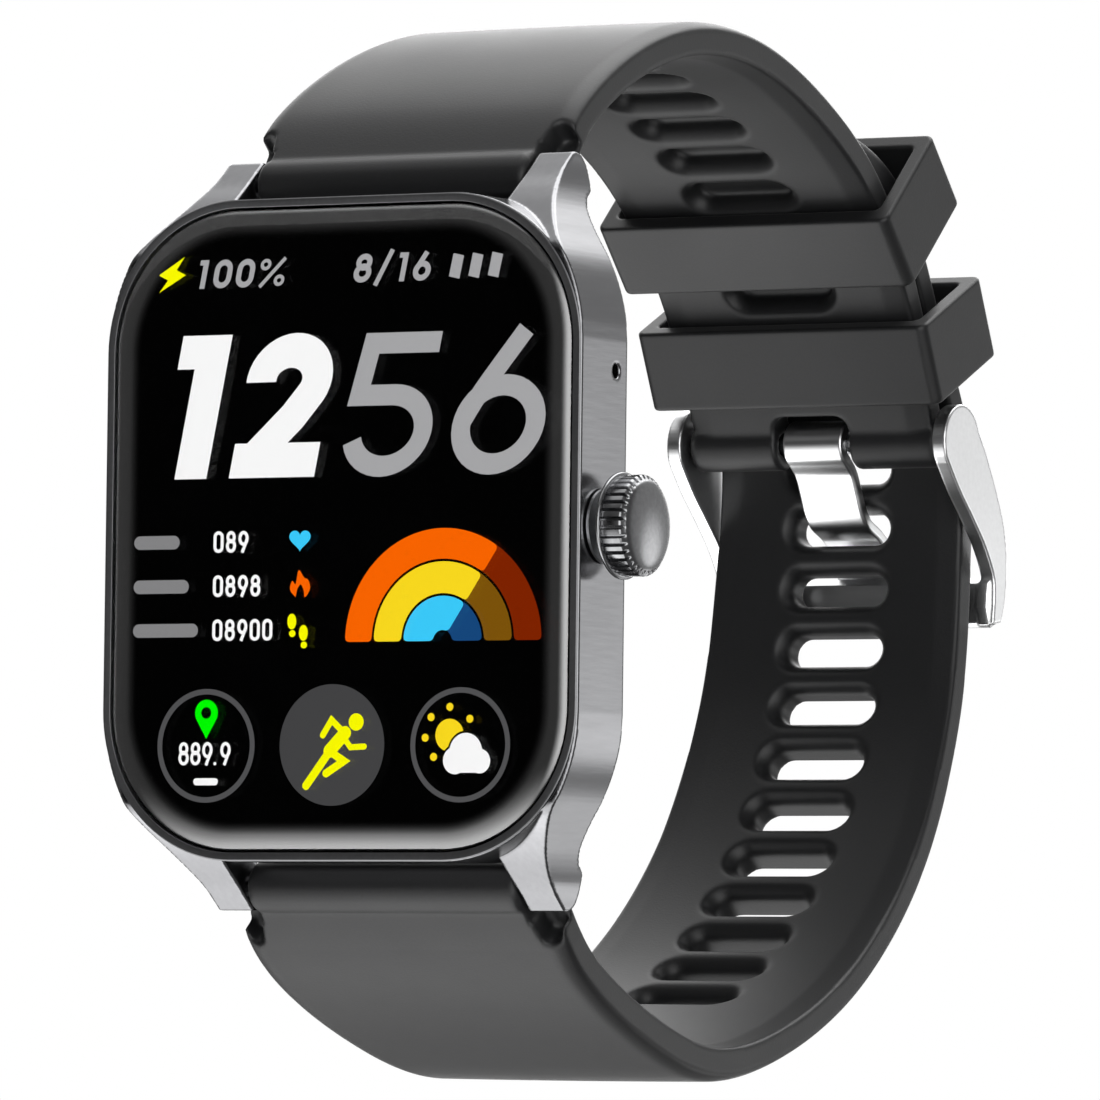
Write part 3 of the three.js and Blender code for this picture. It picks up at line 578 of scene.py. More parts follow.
def make_back():
    edge, lip, face, rim = COVER_LOW[1] + 0.75, COVER_LOW[1], -1.9, COVER_HIGH[1]
    half, corner = (18.4, 22.4), 9.9
    wall = [(0.9, edge + 0.3), (0.9, lip), (1.9, lip), (1.9, -2.95)]
    outside = [(2.9 - 2.9 * math.sin(a), edge + (face - edge) * math.cos(a))
               for a in np.radians(np.linspace(0, 90, 16))]
    rings = [rect_ring(inset, y, half, corner) for inset, y in [(0.9, edge), *reversed(outside)]]
    count = len(rings[0])
    around = np.arctan2(rings[0][:, 2], rings[0][:, 0])

    def circle(radius, y):
        return np.column_stack([radius * np.cos(around), np.full(count, y), radius * np.sin(around)])

    hump = [(14.0, face), *fillet((13.6, face), (13.1, face), (12.9, -1.7), 5), (12.3, rim - 0.15),
            *fillet((12.2, rim - 0.05), (12.15, rim), (12.0, rim), 3), (11.6, rim), (11.55, rim - 0.05),
            (11.55, LENS_SEAT), (10.3, LENS_SEAT), (10.3, -2.9)]
    flare = [circle(r, y) for r, y in hump]
    inner = [rect_ring(inset, y, half, corner) for inset, y in reversed(wall)]
    shell = loft("back_shell", rings + flare + inner, ring_shaped=True, sharp=35)
    holes = []
    for sx, sz in SCREW_SIDES:
        holes.append(turned("screw_well", [(0.65, -4), (0.65, -2.6), (1.2, -2.6), (1.2, 0)], "Y",
                            (SCREW_X * sx, SCREW_Z * sz), 40))
    holes += [turned("contact_well", [(1.3, -4), (1.3, 0)], "Y", (CONTACT_X * sx, CONTACT_Z), 40)
              for sx in (-1, 1)]
    cut(shell, holes)
    finish_piece(shell, BACK_PLASTIC, "case", "rear_plastic", "rear_cover")
    dome = [(0, LENS_LOW[1]), (11.4, LENS_LOW[1]), (11.4, -0.55), (11.3, -0.4)]
    dome += [(11.2 * math.cos(a), -0.4 + 0.4 * math.sin(a)) for a in np.radians(np.linspace(10, 90, 14))]
    lens = turned("sensor_window", dome, "Y", (0, 0), 128)
    finish_piece(lens, LENS, "case", "lens_glass", "sensor_lens")
    for k in range(4):
        angle = math.radians(45 + 90 * k)
        x, z = 6.6 * math.cos(angle), 6.6 * math.sin(angle)
        cell = loft(f"sensor_cell_{k + 1}", [
            rect_ring(0, y, (1.5, 1.1), 0.25, 5, 1) @ turn_about_y(angle) + (x, 0, z) for y in (-0.14, -0.1)])
        finish_piece(cell, SENSOR_DARK, "case", "lens_glass")
    led = turned("sensor_led", [(0.9, -0.06), (0.9, -0.01), (0.85, 0.0)], "Y", (0, 0), 48)
    finish_piece(led, LED_GREEN, "case", "lens_glass")


def turn_about_y(angle):
    c, s = math.cos(angle), math.sin(angle)
    return np.array([(c, 0, s), (0, 1, 0), (-s, 0, c)])


def cut(piece, tools):
    """Cuts tools out of a piece and deletes them."""
    for tool in tools:
        boolean = piece.modifiers.new("cut", "BOOLEAN")
        boolean.operation, boolean.solver, boolean.object = "DIFFERENCE", "EXACT", tool
    depsgraph = bpy.context.evaluated_depsgraph_get()
    mesh = bpy.data.meshes.new_from_object(piece.evaluated_get(depsgraph))
    piece.modifiers.clear()
    piece.data = mesh
    mesh.set_sharp_from_angle(angle=math.radians(35))
    for tool in tools:
        bpy.data.objects.remove(tool)


def make_back_metal():
    def cross(row, angle, radius):
        if row < 6:
            return np.full(len(angle), max(radius, 0.004))
        arm = 0.16 / np.maximum(np.minimum(np.abs(np.sin(angle)), np.abs(np.cos(angle))), 0.16 / 0.62)
        return arm * (1.0 if row < 8 else 0.9)

    profile = [(0, -7.4), (0.5, -7.4), (0.5, -2.45), (1.0, -2.45), (1.0, -2.1), (0.92, -2.0), (0.6, -2.0),
               (0.6, -2.25)]
    for k, (sx, sz) in enumerate(SCREW_SIDES):
        screw = turned(f"back_screw_{k + 1}", profile, "Y", (SCREW_X * sx, SCREW_Z * sz), 72, cross)
        finish_piece(screw, PLAIN_STEEL, "case", "small_steel", f"rear_screw_{k + 1}")
    pin = [(1.1, -3.5), (1.1, -2.05), (1.05, -1.9), (0.85, -1.8), (0.35, -1.8), (0.25, -1.86)]
    for side, x in (("left", -CONTACT_X), ("right", CONTACT_X)):
        contact = turned(f"contact_{side}", pin, "Y", (x, CONTACT_Z), 48)
        finish_piece(contact, GOLD, "case", "contact_gold", f"charge_contact_{side}")


# ---- crown

TEETH = 36


def make_crown():
    back, tip = CAP_LOW[0], CAP_HIGH[0]
    collar, knurl_start, face = 20.55, 20.85, 22.4
    profile = [(0.05, 21.3), (0.85, 21.3), (0.85, back), (2.5, back), (2.6, back + 0.1), (2.6, collar),
               (3.62, collar), (3.7, collar + 0.07), (3.7, knurl_start - 0.07), (3.62, knurl_start),
               (3.14, knurl_start + 0.01)]
    first_tooth = len(profile)
    profile += [(3.42, knurl_start + 0.02), (3.5, knurl_start + 0.12), (3.5, 21.6),
                (3.5, face - 0.12), (3.46, face - 0.03), (3.36, face + 0.05), (3.26, face + 0.1)]
    after_teeth = len(profile)
    profile += [(3.2 * math.cos(a), face + 0.1 + (tip - face - 0.1) * math.sin(a))
                for a in np.radians(np.linspace(12, 89, 16))]

    def radius_at(row, angle, radius):
        if not first_tooth <= row < after_teeth:
            return np.full(len(angle), max(radius, 0.01))
        wave = np.cos(angle * TEETH)
        valley = ramp(-wave, 0.1, 0.8)
        return radius - (radius - 3.14) * valley

    knob = turned("crown_knob", profile, "X", (CROWN_Y, 0), TEETH * 12, radius_at, sharp=50)
    finish_piece(knob, CROWN_METAL, "crown", "crown_metal", "crown_cap")


# ---- strap

ROOT_RADIUS = 1.87
SLOT_HALF, SLOT_RADIUS = 2.8, 1.2


def strap_section(x, out, half_width):
    """Band of the strap: crowned outside, rolled at its edges, with a bevelled border inside."""
    ax = np.abs(x)
    edge = half_width - ax
    top = STRAP_HALF - 0.5 * np.clip(1 - edge / 1.5, 0, 1) ** 2 - 0.06 * (ax / half_width) ** 2
    bottom = -STRAP_HALF + 0.24 * np.clip(1 - edge / 1.9, 0, 1)
    sides = smooth_max(ax - half_width, out - top, 0.22)
    return smooth_max(sides, bottom - out, 0.2)


def root_distance(band, x, s, out):
    """Adds the tube for the spring bar to a band, with clearance and a scoop for each lug tip."""
    ax = np.abs(x)
    around = np.hypot(s, out)
    band = np.maximum(smooth_max(band, np.minimum(2.15 - s, ax - 10.85), 0.35), 0.2 - s)
    tube = smooth_max(around - ROOT_RADIUS, ax - 10.95, 0.7)
    clearance = np.maximum(around - 2.35, 11.0 - ax)
    share = np.clip((s - 1.4) / 2.0, 0, 1)
    scoop = np.hypot(ax - 12.0, s - 1.4 - 2.0 * share) - (1.35 - 0.6 * share)
    scoop = smooth_max(smooth_max(scoop, -0.7 - out, 0.5), 11.0 - ax, 0.2)
    body = smooth_min(smooth_max(band, -clearance, 0.35), tube, 0.12)
    body = smooth_max(body, -scoop, 0.3)
    return np.maximum(body, BORE_RADIUS - around)


def slot_distance(x, s, out, centre, floor=None):
    """Long hole that flares towards the inner face; with a floor it is a blind recess."""
    across = np.hypot(np.maximum(np.abs(x) - SLOT_HALF, 0), s - centre)
    flare = 0.75 * np.clip((-out - 0.1) / 1.25, 0, 1.3) ** 2
    hole = across - SLOT_RADIUS - flare
    return hole if floor is None else smooth_max(hole, out - floor, 0.5)


def nearest_slot(x, s, out, first, pitch, count, floor=None):
    """Distance to the nearest of a row of slots that starts at first and runs towards s = 0."""
    index = np.clip(np.round((first - s) / pitch), 0, count - 1)
    return slot_distance(x, s, out, first - index * pitch, floor)


def upper_distance(x, s, out):
    length = upper_line.length
    share = np.clip(s / length, 0, 1) ** 0.8
    half_width = SHOULDER + (UPPER_END - SHOULDER) * share
    band = np.maximum(strap_section(x, out, half_width), s - length)
    recess = nearest_slot(x, s, out, length - RECESS_FROM_PIN, RECESS_PITCH, RECESS_COUNT, -STRAP_HALF + 1.5)
    band = smooth_max(band, -recess, 0.25)
    body = root_distance(band, x, s, out)
    ax = np.abs(x)
    around = np.hypot(s - length, out)
    end = smooth_max(around - 1.88, ax - 10.5, 0.6)
    body = smooth_min(body, end, 0.2)
    notch = smooth_max(ax - 3.15, length - 2.75 - s, 1.3)
    body = smooth_max(body, -notch, 0.3)
    return np.maximum(body, BORE_RADIUS - around)


def find_slot_start():
    share = np.linspace(0.6, 0.85, 401) * lower_line.length
    height = lower_line.at(share)[0][:, 1]
    return share[np.argmin(np.abs(height - FIRST_SLOT_Z))]


first_slot = find_slot_start()


def lower_distance(x, s, out):
    length = lower_line.length
    half_width = SHOULDER + (LOWER_END - SHOULDER) * np.clip((s - 5) / 100, 0, 1)
    tip = np.clip((length - s) / 7.0, 0, 1)
    half_width = half_width - 4 + 4 * np.sqrt(np.maximum(1 - (1 - tip) ** 2, 0))
    band = smooth_max(strap_section(x, out, half_width), s - length, 0.5)
    slots = nearest_slot(x, s, out, first_slot, SLOT_PITCH, SLOT_COUNT)
    return root_distance(smooth_max(band, -slots, 0.25), x, s, out)


def make_strap():
    for name, line, distance, side in (("upper", upper_line, upper_distance, 1),
                                       ("lower", lower_line, lower_distance, -1)):
        low = (-SHOULDER - 0.1, -2.0, -2.0)
        high = (SHOULDER + 0.1, line.length + 2.0, 2.0)
        points, quads = surface_net(distance, low, high, 0.25)
        band = net_piece(f"{name}_band", line.bend(points, side), quads, flip=side < 0)
        finish_piece(band, SILICONE, f"{name}_strap", "silicone", f"strap_{name}")


KEEPER_HALF, KEEPER_CAVITY, KEEPER_WALL = 12.25, 11.05, 1.4
KEEPER_DEPTH, KEEPER_LENGTH, KEEPER_GAP = 10.3, 6.3, 0.3


def keeper_distance(x, along, out):
    middle = -STRAP_HALF - KEEPER_GAP - KEEPER_WALL + KEEPER_DEPTH / 2
    outline = rounded_rect(x, out - middle, KEEPER_HALF, KEEPER_DEPTH / 2, 0.75)
    cavity = rounded_rect(x, out - middle, KEEPER_CAVITY, KEEPER_DEPTH / 2 - KEEPER_WALL, 0.5)
    return smooth_max(smooth_max(outline, -cavity, 0.15), np.abs(along) - KEEPER_LENGTH / 2, 0.28)


def make_keepers():
    points, quads = surface_net(keeper_distance, (-12.4, -3.3, -3.3), (12.4, 3.3, 7.4), 0.16)
    for name, from_pin in KEEPER_PLACES.items():
        place, tangent, normal = upper_line.at(np.array(upper_line.length - from_pin))
        yz = place + points[:, 1:2] * tangent + points[:, 2:3] * normal
        loop = net_piece(f"{name}_loop", np.column_stack([points[:, 0], yz]), quads)
        finish_piece(loop, SILICONE, f"{name}_keeper", "silicone", f"keeper_{name}")


# ---- buckle

ARM_OUTLINE = np.vstack([
    arc((PIN_Y, PIN_Z), 2.8, 20, 205, 30),
    catmull_rom([(57.45, 8.2), (59.2, 6.3), (61.4, 4.3), (63.6, 2.1), (64.95, 0), (65.1, -1.4),
                 (64.9, -3.45)], 6),
    catmull_rom([(66.2, -3.3), (66.75, -1.8), (67.03, 0.8), (66.6, 3.7), (65.2, 6.6), (63.5, 9.3)], 6),
])
CROSS_OUTLINE = np.array([(64.95, -0.4), (64.8, -2.2), (65.0, -3.4), (65.6, -3.7), (66.2, -3.3), (66.75, -1.8),
                          (66.6, -0.3), (65.8, 0.1)])
ARM_INNER, ARM_OUTER = 10.7, 11.85


def buckle_distance(x, y, z):
    ax = np.abs(x)
    middle, half = (ARM_INNER + ARM_OUTER) / 2, (ARM_OUTER - ARM_INNER) / 2
    arms = smooth_max(polygon(y, z, ARM_OUTLINE), np.abs(ax - middle) - half, 0.14)
    bar = smooth_max(polygon(y, z, CROSS_OUTLINE), ax - middle, 0.14)
    body = smooth_min(arms, bar, 0.5)
    bore = np.maximum(np.hypot(y - PIN_Y, z - PIN_Z) - 0.9, ax - 11.35)
    return np.maximum(body, -bore)


TONGUE_THICKNESS, TONGUE_HALF = 0.9, 2.5
TONGUE_LINE = Line([*arc((PIN_Y, PIN_Z), 1.35, 20, 250, 7), (60.15, 7.85), (60.95, 6.5), (61.7, 5.1),
                    (62.6, 4.15), (64.7, 3.2), (66.6, 1.7), (67.6, -0.9)])


def tongue_distance(x, s, out):
    length = TONGUE_LINE.length
    flat = smooth_max(np.abs(x) - TONGUE_HALF, np.abs(out) - TONGUE_THICKNESS / 2, 0.22)
    return smooth_max(flat, np.abs(s - length / 2) - length / 2, 0.4)


def make_buckle():
    points, quads = surface_net(buckle_distance, (-12, 56.7, -3.9), (12, 67.2, 12.9), 0.11)
    finish_piece(net_piece("buckle_body", points, quads), STEEL, "buckle", "buckle_steel", "buckle_frame")
    low = (-TONGUE_HALF, 0, -TONGUE_THICKNESS / 2)
    high = (TONGUE_HALF, TONGUE_LINE.length, TONGUE_THICKNESS / 2)
    points, quads = surface_net(tongue_distance, low, high, 0.1)
    prong = net_piece("buckle_prong", TONGUE_LINE.bend(points), quads)
    finish_piece(prong, STEEL, "tongue", "buckle_steel", "buckle_tongue")
    rod = [(0.65, -11.25), (0.75, -11.15), (0.75, 11.15), (0.65, 11.25)]
    pin = turned("buckle_rod", rod, "X", (PIN_Y, PIN_Z), 48)
    finish_piece(pin, PLAIN_STEEL, "buckle", "small_steel", "buckle_pin")


# ---- watch face

FACE_Y = -10.2
LAYER = 0.03
SLANT = 0.2
WHITE, SOFT_GREY, DIM_GREY = (1, 1, 1), (0.4, 0.4, 0.41), (0.24, 0.24, 0.245)
RING_GREY, DISC_GREY = (0.085, 0.085, 0.088), (0.058, 0.058, 0.06)
ORANGE, ORANGE_DIM = (1.0, 0.135, 0.0), (0.22, 0.017, 0.0)
YELLOW, YELLOW_DIM = (1.0, 0.73, 0.014), (0.21, 0.09, 0.003)
BLUE, BLUE_DIM = (0.045, 0.62, 1.0), (0.008, 0.065, 0.21)
BRIGHT_YELLOW, GREEN = (1.0, 1.0, 0.0), (0.0, 1.0, 0.0)
LIT = {}


def lit_material(color):
    if color not in LIT:
        LIT[color] = lit(f"lit_{len(LIT) + 1}", color)
    return LIT[color]


def ribbon(path, width, closed=False, rounded=False):
    """Outline of a stroke of even width along a path, with mitred bends."""
    p = np.array(path, float)
    ahead = np.roll(p, -1, axis=0) - p
    if not closed:
        ahead[-1] = ahead[-2]
    ahead /= np.linalg.norm(ahead, axis=1)[:, None]
    behind = np.roll(ahead, 1, axis=0)
    if not closed:
        behind[0] = ahead[0]
    normal = np.column_stack([-(ahead + behind)[:, 1], (ahead + behind)[:, 0]])
    normal /= np.linalg.norm(normal, axis=1)[:, None]
    reach = width / 2 / np.maximum((normal * np.column_stack([-ahead[:, 1], ahead[:, 0]])).sum(1), 0.4)
    left, right = p + normal * reach[:, None], p - normal * reach[:, None]
    count = len(p)
    last = count if closed else count - 1
    faces = [(i, (i + 1) % count, count + (i + 1) % count, count + i) for i in range(last)]
    shapes = [(np.vstack([left, right]), faces)]
    if rounded:
        shapes += [disc(p[0], width / 2), disc(p[-1], width / 2)]
    return shapes


def fill(points):
    return np.array(points, float), [tuple(range(len(points)))]


def disc(centre, radius, count=40):
    return fill(arc(centre, radius, 0, 360 - 360 / count, count))


def ellipse(centre, rx, rz, start, end, count=28):
    a = np.radians(np.linspace(start, end, count))
    return [(centre[0] + rx * math.cos(t), centre[1] + rz * math.sin(t)) for t in a]


def digit(character, b, w):
    """Strokes of a numeral in a box b wide and 1 high, drawn w wide."""
    h = w / 2
    rx = b / 2 - h
    if character == "0":
        low = ellipse((b / 2, h + rx), rx, rx, 180, 360, 14)
        return ribbon(low + ellipse((b / 2, 1 - h - rx), rx, rx, 0, 180, 14), w, closed=True)
    if character == "1":
        bar = b * 0.62
        flag = [(bar - h - 0.14, 1), (bar - h - 0.14, 1 - 0.9 * w), (bar - h, 1 - 0.9 * w), (bar - h, 0),
                (bar + h, 0), (bar + h, 1)]
        return [fill(flag)]
    if character == "2":
        rz = 0.32 - h
        bend = ellipse((b / 2, 1 - h - rz), rx, rz, 185, -28, 24)
        return ribbon(bend + [(0.62 * b, 0.42), (h + 0.02, h * 0.9)], w) + ribbon([(0, h), (b, h)], w)
    if character == "5":
        rz = 0.32 - h
        bowl = ellipse((b / 2, 0.32), rx, rz, 90, -164, 28)
        return ribbon([(0.92 * b, 1 - h), (h + 0.05 * b, 1 - h), (h, 0.64 - h), *bowl], w)
    if character in "69":
        rz = 0.345 - h
        ring = ribbon(ellipse((b / 2, h + rz), rx, rz, 0, 350, 36), w, closed=True)
        tail = catmull_rom([(h, 0.36), (h + 0.14 * b, 0.56), (0.62 * b, 1)], 8)
        shapes = ring + ribbon(tail, w)
        if character == "9":
            shapes = [((b, 1) - points, faces) for points, faces in shapes]
        return shapes
    if character == "8":
        top, low = 0.25 - h * 0.55, 0.28 - h * 0.5
        return (ribbon(ellipse((b / 2, 1 - h - top), rx * 0.88, top, 0, 350, 32), w, closed=True)
                + ribbon(ellipse((b / 2, h + low), rx, low, 0, 350, 32), w, closed=True))
    if character == "/":
        return ribbon([(0.05, -0.12), (b - 0.05, 1.12)], w * 0.9)
    if character == "%":
        return (ribbon([(0.1 * b, 0), (0.9 * b, 1)], w * 0.7)
                + ribbon(ellipse((0.2 * b, 0.78), 0.14 * b, 0.14, 0, 340, 20), w * 0.6, closed=True)
                + ribbon(ellipse((0.8 * b, 0.22), 0.14 * b, 0.14, 0, 340, 20), w * 0.6, closed=True))
    return [disc((b * 0.2, h), h)]      # a decimal point


def number(text, x, z, height, width, weight, gap=0.1, slant=0.0):
    """A row of numerals; width, weight and gap are shares of the height."""
    shapes, pen = [], 0.0
    for character in text:
        b = {"1": 0.75, ".": 0.45, "/": 0.8, "%": 1.5}.get(character, 1.0) * width
        for points, faces in digit(character, b, weight):
            u, v = points[:, 0] + pen, points[:, 1]
            shapes.append((np.column_stack([x + (u + slant * v) * height, z + v * height]), faces))
        pen += b + gap
    return shapes


def sector(centre, r0, r1, start, end, corner):
    """Band of a ring between two angles in degrees, with rounded corners."""
    def at(radius, angle):
        turn = math.radians(angle)
        return centre[0] + radius * math.cos(turn), centre[1] + radius * math.sin(turn)

    d0, d1 = math.degrees(corner / r0), math.degrees(corner / r1)
    d0 = min(d0, abs(end - start) / 3)
    outline = [at(r1, a) for a in np.linspace(start + d1, end - d1, 40)]
    outline += fillet(at(r1, end - d1), at(r1, end), at(r1 - corner, end))
    outline += fillet(at(r0 + corner, end), at(r0, end), at(r0, end - d0))
    outline += [at(r0, a) for a in np.linspace(end - d0, start + d0, 30)]
    outline += fillet(at(r0, start + d0), at(r0, start), at(r0 + corner, start))
    outline += fillet(at(r1 - corner, start), at(r1, start), at(r1, start + d1))
    return fill(outline)


def bar(x0, x1, z, height):
    return ribbon([(x0 + height / 2, z), (x1 - height / 2, z)], height, rounded=True)


def face_shape(name, shapes, color, layer=0):
    """One lit shape of the watch face, a thin sheet between panel and glass."""
    points, faces, base = [], [], 0
    y = FACE_Y - layer * LAYER
    for flat, polygons in shapes:
        count = len(flat)
        points.append(np.column_stack([flat[:, 0], np.full(count, y), flat[:, 1]]))
        points.append(np.column_stack([flat[:, 0], np.full(count, y + 0.01), flat[:, 1]]))
        edges = {}
        for polygon_points in polygons:
            faces.append([base + i for i in polygon_points])
            faces.append([base + count + i for i in reversed(polygon_points)])
            for a, b in zip(polygon_points, polygon_points[1:] + polygon_points[:1]):
                edges[(a, b)] = True
        for a, b in edges:
            if (b, a) not in edges:
                faces.append([base + a, base + count + a, base + count + b, base + b])
        base += 2 * count
    piece = face_piece(name, np.vstack(points), faces)
    return finish_piece(piece, lit_material(color), "case", "display_black")


def make_time():
    face_shape("face_hours", number("1", -15.02, 3.62, 10.05, 0.56, 0.26, slant=SLANT)
               + number("2", -9.25, 3.62, 10.05, 0.69, 0.24, slant=SLANT), WHITE)
    face_shape("face_minutes", number("5", -0.62, 3.52, 10.0, 0.71, 0.145, slant=SLANT)
               + number("6", 8.05, 3.52, 10.0, 0.73, 0.145, slant=SLANT), SOFT_GREY)
    bolt = [(-13.1, 19.2), (-15.2, 17.95), (-14.45, 17.6), (-15.15, 16.75), (-13.0, 17.95), (-13.75, 18.3)]
    face_shape("face_charge_icon", [fill(bolt)], BRIGHT_YELLOW)
    face_shape("face_battery", number("100%", -12.35, 16.95, 2.0, 0.72, 0.2, 0.2, SLANT), SOFT_GREY)
    face_shape("face_date", number("8/16", 0.55, 17.05, 2.0, 0.7, 0.2, 0.2, SLANT), SOFT_GREY)
    days = []
    for k in range(3):
        days += ribbon([(8.75 + 1.55 * k, 17.2), (9.1 + 1.55 * k, 18.8)], 0.85)
    face_shape("face_day_marks", days, SOFT_GREY)


def make_readings():
    labels = []
    for z, x1 in ((-0.8, -13.2), (-3.9, -12.4), (-6.97, -11.6)):
        labels += bar(-16.9, x1, z, 0.95)
    face_shape("face_labels", labels, DIM_GREY)
    values = []
    for text, z in (("089", -1.58), ("0898", -4.66), ("08900", -7.74)):
        values += number(text, -10.42, z, 1.52, 0.54, 0.155, 0.13)
    face_shape("face_values", values, WHITE)
    a = np.radians(np.linspace(0, 354, 60))
    heart_z = (13 * np.cos(a) - 5 * np.cos(2 * a) - 2 * np.cos(3 * a) - np.cos(4 * a)) / 16 * 0.82
    heart = np.column_stack([np.sin(a) ** 3 * 0.86, heart_z])
    face_shape("face_heart", [fill(heart + (-3.38, -0.72))], BLUE)
    flame = catmull_rom([(-0.35, -0.9), (-0.8, -0.35), (-0.62, 0.25), (-0.38, 0.0), (-0.1, 1.0),
                         (0.35, 0.45), (0.62, 0.35), (0.82, -0.3), (0.4, -0.9), (0.32, -0.45),
                         (0.05, 0.0), (-0.3, -0.45)], 5)
    face_shape("face_flame", [fill(flame[:-1] + (-3.33, -3.85))], ORANGE)
    soles = []
    for x, z in ((-3.95, -6.55), (-3.0, -7.35)):
        soles += [fill(ellipse((x, z + 0.12), 0.36, 0.55, 0, 346, 26)),
                  fill(ellipse((x + 0.05, z - 0.72), 0.26, 0.24, 0, 340, 20))]
    face_shape("face_soles", soles, BRIGHT_YELLOW)


def make_gauge():
    centre, split = (8.2, -7.9), 56
    bands = (("outer", 5.68, 7.8, ORANGE, ORANGE_DIM), ("middle", 3.3, 5.5, YELLOW, YELLOW_DIM),
             ("inner", 0.75, 3.12, BLUE, BLUE_DIM))
    for name, r0, r1, bright, dim in bands:
        face_shape(f"gauge_{name}_rest", [sector(centre, r0, r1, 0, split + 8, 0.34)], dim)
        face_shape(f"gauge_{name}_done", [sector(centre, r0, r1, split, 180, 0.34)], bright, 1)


SUN = (8.86, -14.4)


def make_dials():
    for name, centre in (("distance", (-10.81, -15.04)), ("weather", (9.71, -15.07))):
        ring = ribbon(ellipse(centre, 3.78, 3.78, 0, 355, 72), 0.38, closed=True)
        face_shape(f"dial_{name}_ring", ring, RING_GREY)
    pin = [*arc((-10.8, -12.75), 0.93, -25, 205, 30), (-10.8, -14.55)]
    face_shape("dial_pin", [fill(pin)], GREEN)
    face_shape("dial_pin_hole", [disc((-10.8, -12.75), 0.4)], BLACK, 1)
    distance = number("889.9", -13.05, -16.4, 1.62, 0.52, 0.14, 0.08) + bar(-11.8, -9.8, -17.55, 0.5)
    face_shape("dial_distance_value", distance, WHITE)
    face_shape("dial_activity", [disc((-0.58, -15.03), 4.22, 90)], DISC_GREY)
    runner = [disc((1.38, -13.45), 0.6)]
    for path, width in (
        ([(0.5, -14.2), (-0.75, -15.45)], 0.95),
        ([(-0.95, -15.75), (-2.6, -17.85)], 0.6),
        ([(-0.6, -15.55), (0.42, -16.15), (-1.0, -17.0)], 0.56),
        ([(0.45, -14.6), (0.95, -15.2), (2.05, -15.15)], 0.42),
        ([(0.25, -14.05), (-0.6, -13.3), (-1.3, -14.35)], 0.46),
    ):
        runner += ribbon(path, width, rounded=True)
    face_shape("dial_activity_figure", runner, BRIGHT_YELLOW, 1)
    sun = [disc(SUN, 1.13)]
    sun += [disc(arc(SUN, 1.95, angle, angle, 1)[0], 0.28, 20) for angle in (35, 90, 140, 185, 230)]
    face_shape("dial_sun", sun, YELLOW)
    puffs = [((9.35, -16.15), 0.95), ((10.2, -15.55), 1.3), ((11.3, -16.2), 0.85)]
    for name, grow, color, layer in (("shade", 0.16, BLACK, 1), ("", 0.0, WHITE, 2)):
        cloud = [disc(centre, radius + grow) for centre, radius in puffs]
        cloud += ribbon([(9.3, -16.55), (11.35, -16.55)], 0.9 + 2 * grow)
        face_shape(f"dial_cloud{'_' + name if name else ''}", cloud, color, layer)


# ---- frame nodes that stay

NODE_LOOKS = (
    (PANEL, "display_panel"), (GASKET, "display_gasket rear_seal mic_seal"), (FOIL, "battery"),
    (MOULDED, "inner_bracket speaker light_baffle"), (TUNGSTEN, "motor_weight"),
    (TIN, "processor_shield microphone vibration_motor crown_switch"),
    (BOARD, "main_board sensor_board crown_encoder"), (COPPER, "display_flex bluetooth_antenna"),
    (NICKEL, "charge_magnet_left charge_magnet_right"),
    (PLAIN_STEEL, "crown_tube crown_stem crown_clip spring_bar_upper spring_bar_lower "
                  "bar_tip_upper_right bar_tip_upper_left bar_tip_lower_right bar_tip_lower_left"),
)


def dress_nodes():
    for material, names in NODE_LOOKS:
        for name in names.split():
            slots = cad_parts[name].data.materials
            slots.clear()
            slots.append(material)


# ---- studio

def lobe(tree, place, total, direction, low, high, value):
    """The total with a soft patch of light around one direction added."""
    dot = add_node(tree, "VectorMath", {0: place, 1: toward(*direction)}, operation="DOT_PRODUCT")
    patch = add_node(tree, "MapRange", {
        "Value": dot.outputs["Value"], "To Max": value,
        "From Min": math.cos(math.radians(low)), "From Max": math.cos(math.radians(high)),
    }, interpolation_type="SMOOTHSTEP")
    plus = add_node(tree, "Math", {0: total, 1: patch.outputs["Result"]}, operation="ADD")
    return plus.outputs["Value"]


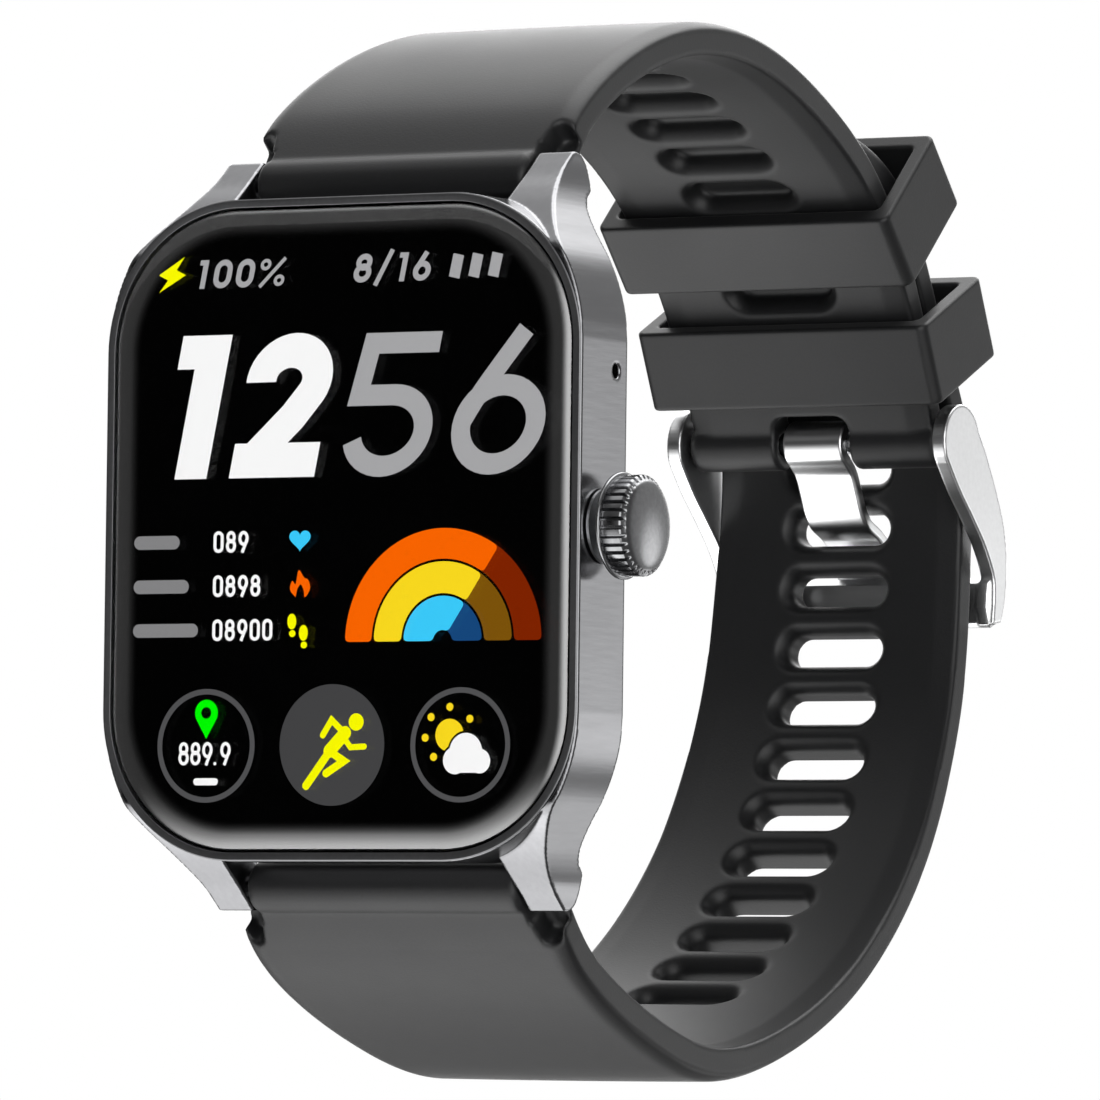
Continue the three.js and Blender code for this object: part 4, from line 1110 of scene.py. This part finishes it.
# Soft lights round the object: the direction each comes from, the outer and inner angle of its patch, and
# its strength. The card takes light away before the glass.
LIGHTS = [
    ((168, 62), 36, 20, 3.0),
    ((175, 34), 15, 5, 1.4),
    ((168, -32), 16, 6, 1.1),
    ((-50, 70), 35, 12, 0.8),
    ((-30, -50), 46, 5, 1.9),
    ((38, 0), 42, 12, 2.1),
    ((150, -6), 13, 6, 1.5),
    ((-142, 30), 40, 12, 1.5),
    ((-155, 8), 26, 8, 3.0),
    ((-105, -56), 36, 10, 1.7),
    ((150, 0), 42, 22, 0.28),
]
AMBIENT = 0.12
FLOOR_HALF = 1.0         # metres
FLOOR_DROP = 0.052       # metres under the loop, clear of the lower strap half when it hangs straight down
DARK_CARD = ((-30, 3), 18, 7, -0.985)


def make_studio():
    world = bpy.data.worlds.new("studio")
    bpy.context.scene.world = world
    world.use_nodes = True
    tree = world.node_tree
    place = add_node(tree, "TexCoord", {}).outputs["Generated"]
    total = AMBIENT
    for light in LIGHTS:
        total = lobe(tree, place, total, *light)
    card = lobe(tree, place, 1.0, *DARK_CARD)
    shade = add_node(tree, "Math", {0: total, 1: card}, operation="MULTIPLY").outputs["Value"]
    seen = add_node(tree, "LightPath", {}).outputs["Is Camera Ray"]
    pick = add_node(tree, "Mix", {"Factor": seen, "A": shade, "B": 1.0})
    background = tree.nodes["Background"]
    tree.links.new(pick.outputs["Result"], background.inputs["Strength"])
    background.inputs["Color"].default_value = (1, 1, 1, 1)
    floor_z = cad_bounds[0][2] - FLOOR_DROP
    corners = [(x * FLOOR_HALF, y * FLOOR_HALF, floor_z) for x, y in ((-1, -1), (1, -1), (1, 1), (-1, 1))]
    floor = face_piece("floor", np.array(corners) / MM, [(0, 1, 2, 3)], closed=False)
    floor.data.materials.append(surface("pale_floor", (0.86, 0.86, 0.86), 0.7, grain=0.01, bump=0.0, tint=0.01))
    floor.visible_glossy = False
    bpy.context.scene.view_settings.view_transform = "Standard"


# ---- build

make_case()
make_glass()
make_back()
make_back_metal()
make_crown()
make_strap()
make_keepers()
make_buckle()
make_time()
make_readings()
make_gauge()
make_dials()
dress_nodes()
make_studio()
